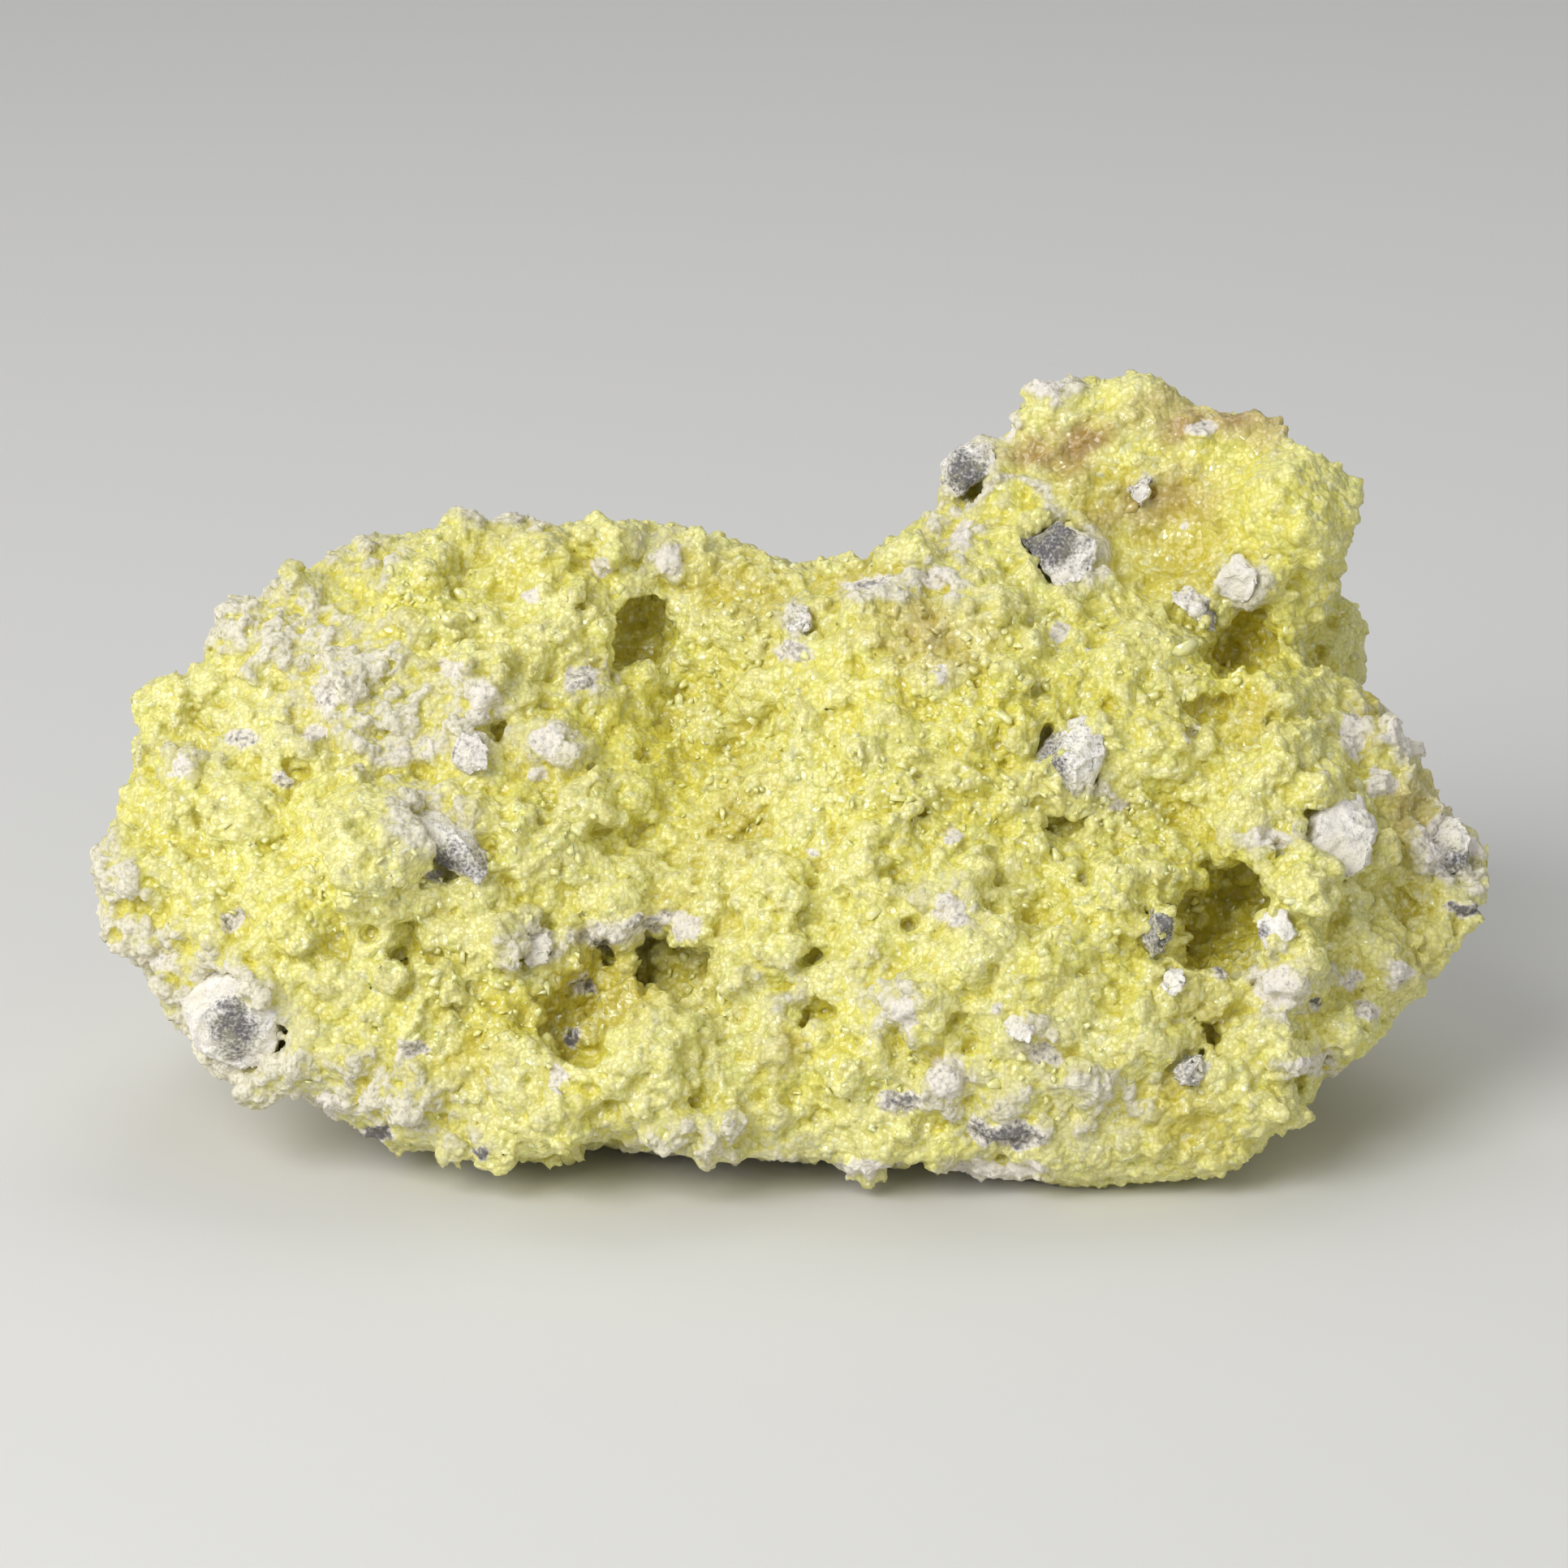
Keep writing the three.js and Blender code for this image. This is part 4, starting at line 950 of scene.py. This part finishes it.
quiet = 1 - 0.7 * patches(seen(crust), [(1500, 620, 260, 180, 1.0)])
raised = 0.35 * (0.5 - grain_near**1.5) + 0.4 * grain_face + 0.8 * crystal_face
chalky = np.clip(patches(ragged_pixels(crust, 30), CHALK_SPOTS), 0, 1)
raised += 0.45 * chalky * (0.5 - seeds(crust, 0.85 * MM, 69)[0] ** 1.5)
raised = (raised * quiet + 0.08 * haze(crust, 0.9 * MM, 62, 2)) * MM
# Where the front ends, its edge is tucked into the core.
tucked = 1.3 * MM * (1 - np.clip(ahead(crust) / (3 * MM), 0, 1))
crust_skin = crust + crust_outward * raised[:, None] - crust_broad * tucked[:, None]
crust_skin = kept_inside(crust_skin, crust)
crust_outward = outward_of(crust_skin, crust_triangles)
crust_marks = with_painted_shade(marked(crust), hollows(crust_skin, crust_outward, crust_edges, CRUST_VOXEL))

# Native sulfur: translucent and resinous, with a high index of about 2. Its thick places glow a richer
# yellow, sheltered places carry painted shade of olive yellow and the tops are painted paler, single
# grains glint, the odd one painted paler as a glint, and powdery places are a chalky white.
SULFUR_PALE = "#EAE69A"
SULFUR_YELLOW = "#E6E06C"
SULFUR_RICH = "#E3D94A"
# Painted shade in sheltered places and in the joints between grains.
SULFUR_PAINTED_SHADE = "#C8B82C"
SULFUR_GREEN = "#DEE28C"
# Paler frost on the odd grain, partly a painted glint.
SULFUR_FROST_AND_GLINT = "#F2F0C0"
CHALK_CREAM = "#CDC698"
CHALK_WHITE = "#E4DECA"
CHALK_PIT = "#A39C72"
ASH_GREY = "#EAE3D6"
ASH_DARK = "#5C585E"
TAN_STAIN = "#B1934E"
GRAIN = 0.7 * MM


def sulfur_material(name, bump, gloss, grit):
    """Pale to rich yellow by the rich mark, with painted shade of olive yellow by the painted shade
    mark, then tan, chalk and ash over it. `grit` is how far the single grains part in colour: the odd
    one is frosted and painted paler as a glint, and the joints between grains get painted shade. Each
    grain is rounded and tilted its own way, and the odd ones are glossier than the rest."""
    made, tree = empty_material(name)
    held = {"kind": "ShaderNodeMapRange"}
    weighed = {"kind": "ShaderNodeMath", "operation": "MULTIPLY_ADD"}
    place = add(tree, "ShaderNodeTexCoord", {}, 3)
    chalk, rich, hollow, ash, dark, tan, pick = (
        add(tree, "ShaderNodeAttribute", {}, 2, attribute_name=key)
        for key in ("chalk", "rich", "hollow", "ash", "dark", "tan", "pick")
    )
    cloud, powder, specks = (
        add(
            tree,
            "ShaderNodeTexNoise",
            {"Vector": place, "Scale": 1 / size, "Detail": detail, "Roughness": roughness},
        )
        for size, detail, roughness in ((3 * MM, 3, 0.5), (1.3 * MM, 4, 0.6), (0.5 * MM, 3, 0.5))
    )
    cells = {"Vector": place, "Scale": 1 / GRAIN}
    cell = add(tree, "ShaderNodeTexVoronoi", cells, 2)
    roundness, chances = cell.node.outputs[0], cell.node.outputs[1]
    edge = add(tree, "ShaderNodeTexVoronoi", cells, feature="DISTANCE_TO_EDGE")
    luck = add(tree, "ShaderNodeSeparateColor", {0: chances}, 1)
    half = {0: chances, 1: (0.5, 0.5, 0.5)}
    slopes = add(tree, "ShaderNodeVectorMath", half, operation="SUBTRACT")
    way = add(tree, "ShaderNodeVectorMath", {0: place, 1: cell}, operation="SUBTRACT")
    face = add(tree, "ShaderNodeVectorMath", {0: slopes, 1: way}, 1, operation="DOT_PRODUCT")
    depth = add(tree, inputs={0: pick, 1: 0.22, 2: rich}, **weighed)
    depth = add(tree, inputs={0: cloud, 1: 0.7, 2: depth}, **weighed)
    layers = [
        (depth, 0.46, 0.96, 0, 1, colour(SULFUR_YELLOW)),
        (depth, 0.91, 1.46, 0, 1, colour(SULFUR_RICH)),
        (pick, 0.7, 0.95, 0, 0.5, colour(SULFUR_GREEN)),
        # Painted shade: sheltered places darkened to olive yellow.
        (hollow, 0.15, 1, 0, 0.8, colour(SULFUR_PAINTED_SHADE)),
        # The odd grain frosted paler, partly a painted glint.
        (luck, 0.7, 1, 0.4 * (1 - grit), 0.7, colour(SULFUR_FROST_AND_GLINT)),
        # Painted shade in the joints between the grains.
        (edge, 0, 0.15, 0.38 * grit, 0, colour(SULFUR_PAINTED_SHADE)),
        (tan, 0, 1, 0, 1, colour(TAN_STAIN)),
    ]
    base = coats(tree, colour(SULFUR_PALE), layers)
    layers = [
        (chalk, 0.45, 1, 0, 1, colour(CHALK_WHITE)),
        (specks, 0.48, 0.62, 0, 0.5, colour(CHALK_PIT)),
    ]
    white = coats(tree, colour(CHALK_CREAM), layers)
    shade = add(tree, inputs={0: specks, 1: 2.2, 2: dark}, **weighed)
    ashes = coats(tree, colour(ASH_GREY), [(shade, 1.25, 2, 0, 1, colour(ASH_DARK))])
    chalky = add(tree, inputs={0: chalk, 1: 0.7, 2: powder}, **weighed)
    chalky = add(tree, inputs={0: chalky, 1: 0.58, 2: 1.08, 4: 0.95}, **held)
    ashy = add(tree, inputs={0: ash, 1: 1.0, 2: powder}, **weighed)
    ashy = add(tree, inputs={0: ashy, 1: 0.75, 2: 1.15, 4: 0.95}, **held)
    dull = add(tree, "ShaderNodeMath", {0: chalky, 1: ashy}, operation="MAXIMUM")
    height = add(tree, inputs={0: specks, 1: -0.5, 2: roundness}, **weighed)
    height = add(tree, inputs={0: face, 1: 2.4 / GRAIN, 2: height}, **weighed)
    bumped = {"Strength": bump, "Distance": 0.25 * MM, "Height": height}
    bright = add(tree, inputs={0: luck, 1: 0.7, 2: 0.95, 3: gloss, 4: 0.35 * gloss}, **held)
    finish = {
        "Base Color": coats(tree, base, [(chalky, 0, 1, 0, 1, white), (ashy, 0, 1, 0, 1, ashes)]),
        "Roughness": add(tree, inputs={0: dull, 3: bright, 4: 0.9}, **held),
        "IOR": 1.9,
        "Subsurface Weight": add(tree, inputs={0: dull, 3: 0.65, 4: 0.1}, **held),
        "Subsurface Radius": (1.0, 0.85, 0.25),
        "Subsurface Scale": 0.42 * MM,
        "Normal": add(tree, "ShaderNodeBump", bumped, invert=True),
    }
    surface = add(tree, "ShaderNodeBsdfPrincipled", finish)
    add(tree, "ShaderNodeOutputMaterial", {"Surface": surface})
    return made


granular_sulfur = sulfur_material("granular_native_sulfur", 0.75, 0.45, 1)
mesh = built("sulfur_mass_core", core_skin, core_triangles, core_marks)
piece = shown("sulfur_mass_core", mesh, granular_sulfur)
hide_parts("sulfur_mass")


def closed_behind(points, triangles, inward, middle):
    """Closes a sheet: its rim is repeated further in, moved by `inward`, and joined from there to
    one point in the middle of the mass. Gives the number of each new point's old one too."""
    pairs = np.concatenate([triangles[:, [0, 1]], triangles[:, [1, 2]], triangles[:, [2, 0]]])
    key = np.sort(pairs, axis=1) @ np.array([len(points), 1])
    _, where, times = np.unique(key, return_index=True, return_counts=True)
    rim = pairs[where[times == 1]]
    ring = np.unique(rim)
    inner = np.full(len(points), -1)
    inner[ring] = len(points) + np.arange(len(ring))
    behind = points[ring] + inward[ring]
    behind[:, 2] = np.maximum(behind[:, 2], 0.5 * MM)
    last = len(points) + len(ring)
    a, b = rim[:, 0], rim[:, 1]
    walls = [
        np.stack([b, a, inner[a]], axis=1),
        np.stack([b, inner[a], inner[b]], axis=1),
        np.stack([inner[b], inner[a], np.full(len(rim), last)], axis=1),
    ]
    old = np.concatenate([np.arange(len(points)), ring, ring[:1]])
    return np.concatenate([points, behind, [middle]]), np.concatenate([triangles, *walls]), old


# The front is four pieces, parted near these pixel columns along the clefts between its lumps. They
# keep the whole skin's normals, so that no seam shows.
BORDERS = (480, 980, 1340)
CRUST_DEPTH = 3 * MM
BEHIND = 12 * MM
PART_MIDDLES = {
    "left": (340, 1080),
    "left_middle": (730, 1080),
    "right_middle": (1190, 1060),
    "right": (1500, 1000),
}
middles = crust[crust_triangles].mean(axis=1)
part_of = np.searchsorted(BORDERS, seen(seeds(bent(middles), MIDDLE_LUMP, 2)[4])[:, 0])
for order, (part, part_middle) in enumerate(PART_MIDDLES.items()):
    picked, own = np.unique(crust_triangles[part_of == order], return_inverse=True)
    away = (np.array(part_middle) - PICTURE_MIDDLE) * PX
    middle = plane_middle + RIGHT * away[0] - UP * away[1] - TOWARD * BEHIND
    inward = -CRUST_DEPTH * crust_broad[picked]
    points, triangles, old = closed_behind(crust_skin[picked], own.reshape(-1, 3), inward, middle)
    marks = {key: values[picked][old] for key, values in crust_marks.items()}
    mesh = built("front_crust_" + part, points, triangles, marks)
    mesh.normals_split_custom_set_from_vertices(crust_outward[picked][old])
    shown("front_crust_" + part, mesh, granular_sulfur)

# Free crystals
# Where there was room, single crystals of orthorhombic sulfur stand clear: stubby pyramids on a
# lozenge and flat-topped prisms of 1 to 2 mm, paler than the crust, with bright faces. They grew
# on it and are seated in it. Their sizes here are half sizes.
LARGE_CRYSTAL = 0.72 * MM
SMALL_CRYSTAL = 0.36 * MM
LARGE_SHARE = 0.12
FRONT_CRYSTALS = 520
BACK_CRYSTALS = 300
CLEAR_OF_TABLE = 3 * MM
CRYSTAL_BLOCKS = [
    [
        (1, 0, 0), (-1, 0, 0), (0, 0.8, 0), (0, -0.8, 0), (0.4, 0, 1.1), (-0.4, 0, 1.1),
        (0, 0.3, 1.1), (0, -0.3, 1.1), (0, 0, -1.6),
    ],
    [
        (0.7, 0.6, -1.2), (-0.7, 0.6, -1.2), (-0.7, -0.6, -1.2), (0.7, -0.6, -1.2), (0.7, 0.6, 0.9),
        (-0.7, 0.6, 0.9), (-0.7, -0.6, 0.9), (0.7, -0.6, 0.9), (0, 0.3, 1.4), (0, -0.3, 1.4),
    ],
    [
        (1.1, 0.3, -0.8), (-1.1, 0.3, -0.8), (1.2, -0.3, 0.3), (-1.2, -0.3, 0.3), (0.7, 0.35, 1.1),
        (-0.7, 0.35, 1.1), (0.8, -0.35, 1.0), (-0.9, -0.35, 1.0),
    ],
]
CRYSTAL_SPOTS = [
    (1380, 1012, 70, 40, 1.0), (630, 1250, 90, 50, 1.0), (838, 1208, 60, 40, 0.6),
    (868, 872, 70, 90, 0.8), (1452, 815, 70, 40, 1.0), (1266, 792, 80, 60, 0.6),
    (912, 780, 50, 40, 0.6), (700, 1022, 60, 50, 0.6), (520, 740, 60, 50, 0.9),
    (1060, 960, 110, 60, 0.7), (520, 1060, 60, 60, 0.6), (330, 1060, 90, 50, 0.4),
    (1230, 990, 120, 50, 0.6), (1500, 1130, 60, 60, 0.7), (880, 1000, 60, 60, 0.5),
    (1180, 830, 70, 60, 0.5), (1330, 1100, 100, 50, 0.5), (720, 760, 60, 40, 0.4),
    (1120, 760, 60, 30, 0.3), (1290, 1330, 90, 50, 0.5), (1080, 1330, 90, 60, 0.4),
    (430, 1110, 80, 40, 0.6), (560, 1190, 40, 30, 0.8), (1420, 1060, 50, 30, 0.8),
]
core_ahead = ahead(core)[core_triangles].max(axis=1)
core_low = core_skin[core_triangles][:, :, 2].min(axis=1)
back_weight = (core_ahead < 2 * MM) * (core_low > CLEAR_OF_TABLE)
back_weight = back_weight * np.clip(haze(core, 12 * MM, 92), 0.02, 1)[core_triangles].mean(axis=1)
druse = patches(seen(crust), CRYSTAL_SPOTS) * (1 - 0.8 * crust_marks["chalk"]) + 0.01
front_weight = np.clip((crust_broad @ TOWARD)[crust_triangles].mean(axis=1) - 0.4, 0, 1)
front_weight = front_weight * (ahead(crust)[crust_triangles].min(axis=1) > 2 * MM)
crust_low = crust_skin[crust_triangles][:, :, 2].min(axis=1)
front_weight = front_weight * (crust_low > CLEAR_OF_TABLE)
front_weight = front_weight * druse[crust_triangles].mean(axis=1)
front = (crust_skin, crust_outward, crust_triangles, front_weight, crust_marks, FRONT_CRYSTALS)
back = (core_skin, core_outward, core_triangles, back_weight, core_marks, BACK_CRYSTALS)
# How much of the crust's colours the crystals take on.
weaker = {"chalk": 0.3, "ash": 0.0, "dark": 0.0, "hollow": 0.0, "rich": 0.6, "tan": 1.0}
clear_sulfur = sulfur_material("clear_sulfur_crystal", 0.05, 0.12, 0)
for side, salt, rows in (("front", 91, front), ("back", 92, back)):
    skin, outward, triangles, weight, marks, count = rows
    chance = np.random.default_rng(salt)
    places, lean, nearest = sprinkled(chance, skin, outward, triangles, weight, count)
    length = np.exp(chance.normal(0.0, 0.2, count))
    length *= np.where(chance.random(count) < LARGE_SHARE, LARGE_CRYSTAL, SMALL_CRYSTAL)
    stretch = length[:, None] * chance.uniform((0.75, 0.75, 0.8), (1.1, 1.1, 1.25), (count, 3))
    points, faces, owner = many_blocks(
        CRYSTAL_BLOCKS,
        chance.integers(0, len(CRYSTAL_BLOCKS), count),
        places + lean * length[:, None] * 0.2,
        standing(chance, lean, 0.8),
        stretch,
    )
    points = np.clip(points, box_low + 0.02 * MM, box_high - 0.02 * MM)
    own_marks = {key: share * marks[key][nearest][owner] for key, share in weaker.items()}
    own_marks["pick"] = chance.uniform(0.0, 0.8, count)[owner]
    mesh = built("free_crystals_" + side, points, faces, own_marks, False)
    shown("free_crystals_" + side, mesh, clear_sulfur)

# The studio
# A plain pale floor that curves up behind, and large soft lights above, in front and at the sides.
FLOOR_COLOUR = "#DEDDDA"
FLOOR_FRONT = -1.2
FLOOR_BACK = 1.5
HALF_WIDTH = 3.0
BEND_RADIUS = 0.5
WALL_HEIGHT = 1.5
floor_material = bpy.data.materials.new("matt_paper")
floor_material.use_nodes = True
paper = floor_material.node_tree.nodes["Principled BSDF"]
paper.inputs["Base Color"].default_value = colour(FLOOR_COLOUR)
paper.inputs["Roughness"].default_value = 0.9

# The sheet lies flat for six tenths of its points, bends up over the next three, and then stands.
run = np.linspace(0, 1, 60)
flat = np.clip(run / 0.6, 0, 1)
bend = np.clip((run - 0.6) / 0.3, 0, 1) * math.pi / 2
depth = FLOOR_FRONT + (FLOOR_BACK - FLOOR_FRONT) * flat + BEND_RADIUS * np.sin(bend)
rise = BEND_RADIUS * (1 - np.cos(bend)) + WALL_HEIGHT * np.clip((run - 0.9) / 0.1, 0, 1)
across = np.repeat([-HALF_WIDTH, HALF_WIDTH], len(run))
sheet_points = np.stack([across, np.tile(depth, 2), np.tile(rise, 2)], axis=1)
k = np.arange(len(run) - 1)
sheet_faces = np.stack([k, k + len(run), k + len(run) + 1, k + 1], axis=1)
floor_mesh = bpy.data.meshes.new("floor")
floor_mesh.from_pydata(sheet_points.tolist(), [], sheet_faces.tolist())
floor_mesh.shade_smooth()
floor_mesh.materials.append(floor_material)
floor = bpy.data.objects.new("floor", floor_mesh)
bpy.context.scene.collection.objects.link(floor)
floor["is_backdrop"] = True

# Each light's place, the length of its side and its power. All are turned to the specimen.
LIGHTS = [
    ((-0.50, -0.71, 0.65), 0.62, 8.7),
    ((0.60, -0.85, 0.30), 0.8, 1.3),
    ((-0.90, -0.10, 0.35), 0.6, 1.6),
    ((0.10, 0.45, 0.85), 0.6, 1.8),
]
AIM = Vector((0, 0, 0.035))
for place, side, power in LIGHTS:
    lamp = bpy.data.lights.new("soft_light", "AREA")
    lamp.shape = "SQUARE"
    lamp.size = side
    lamp.energy = power
    light = bpy.data.objects.new("soft_light", lamp)
    light.location = place
    light.rotation_euler = (AIM - Vector(place)).to_track_quat("-Z", "Y").to_euler()
    bpy.context.scene.collection.objects.link(light)
world = bpy.data.worlds.new("room")
world.use_nodes = True
world.node_tree.nodes["Background"].inputs["Color"].default_value = (0.94, 0.96, 1.0, 1)
world.node_tree.nodes["Background"].inputs["Strength"].default_value = 0.3
bpy.context.scene.world = world
bpy.context.scene.view_settings.view_transform = "Standard"
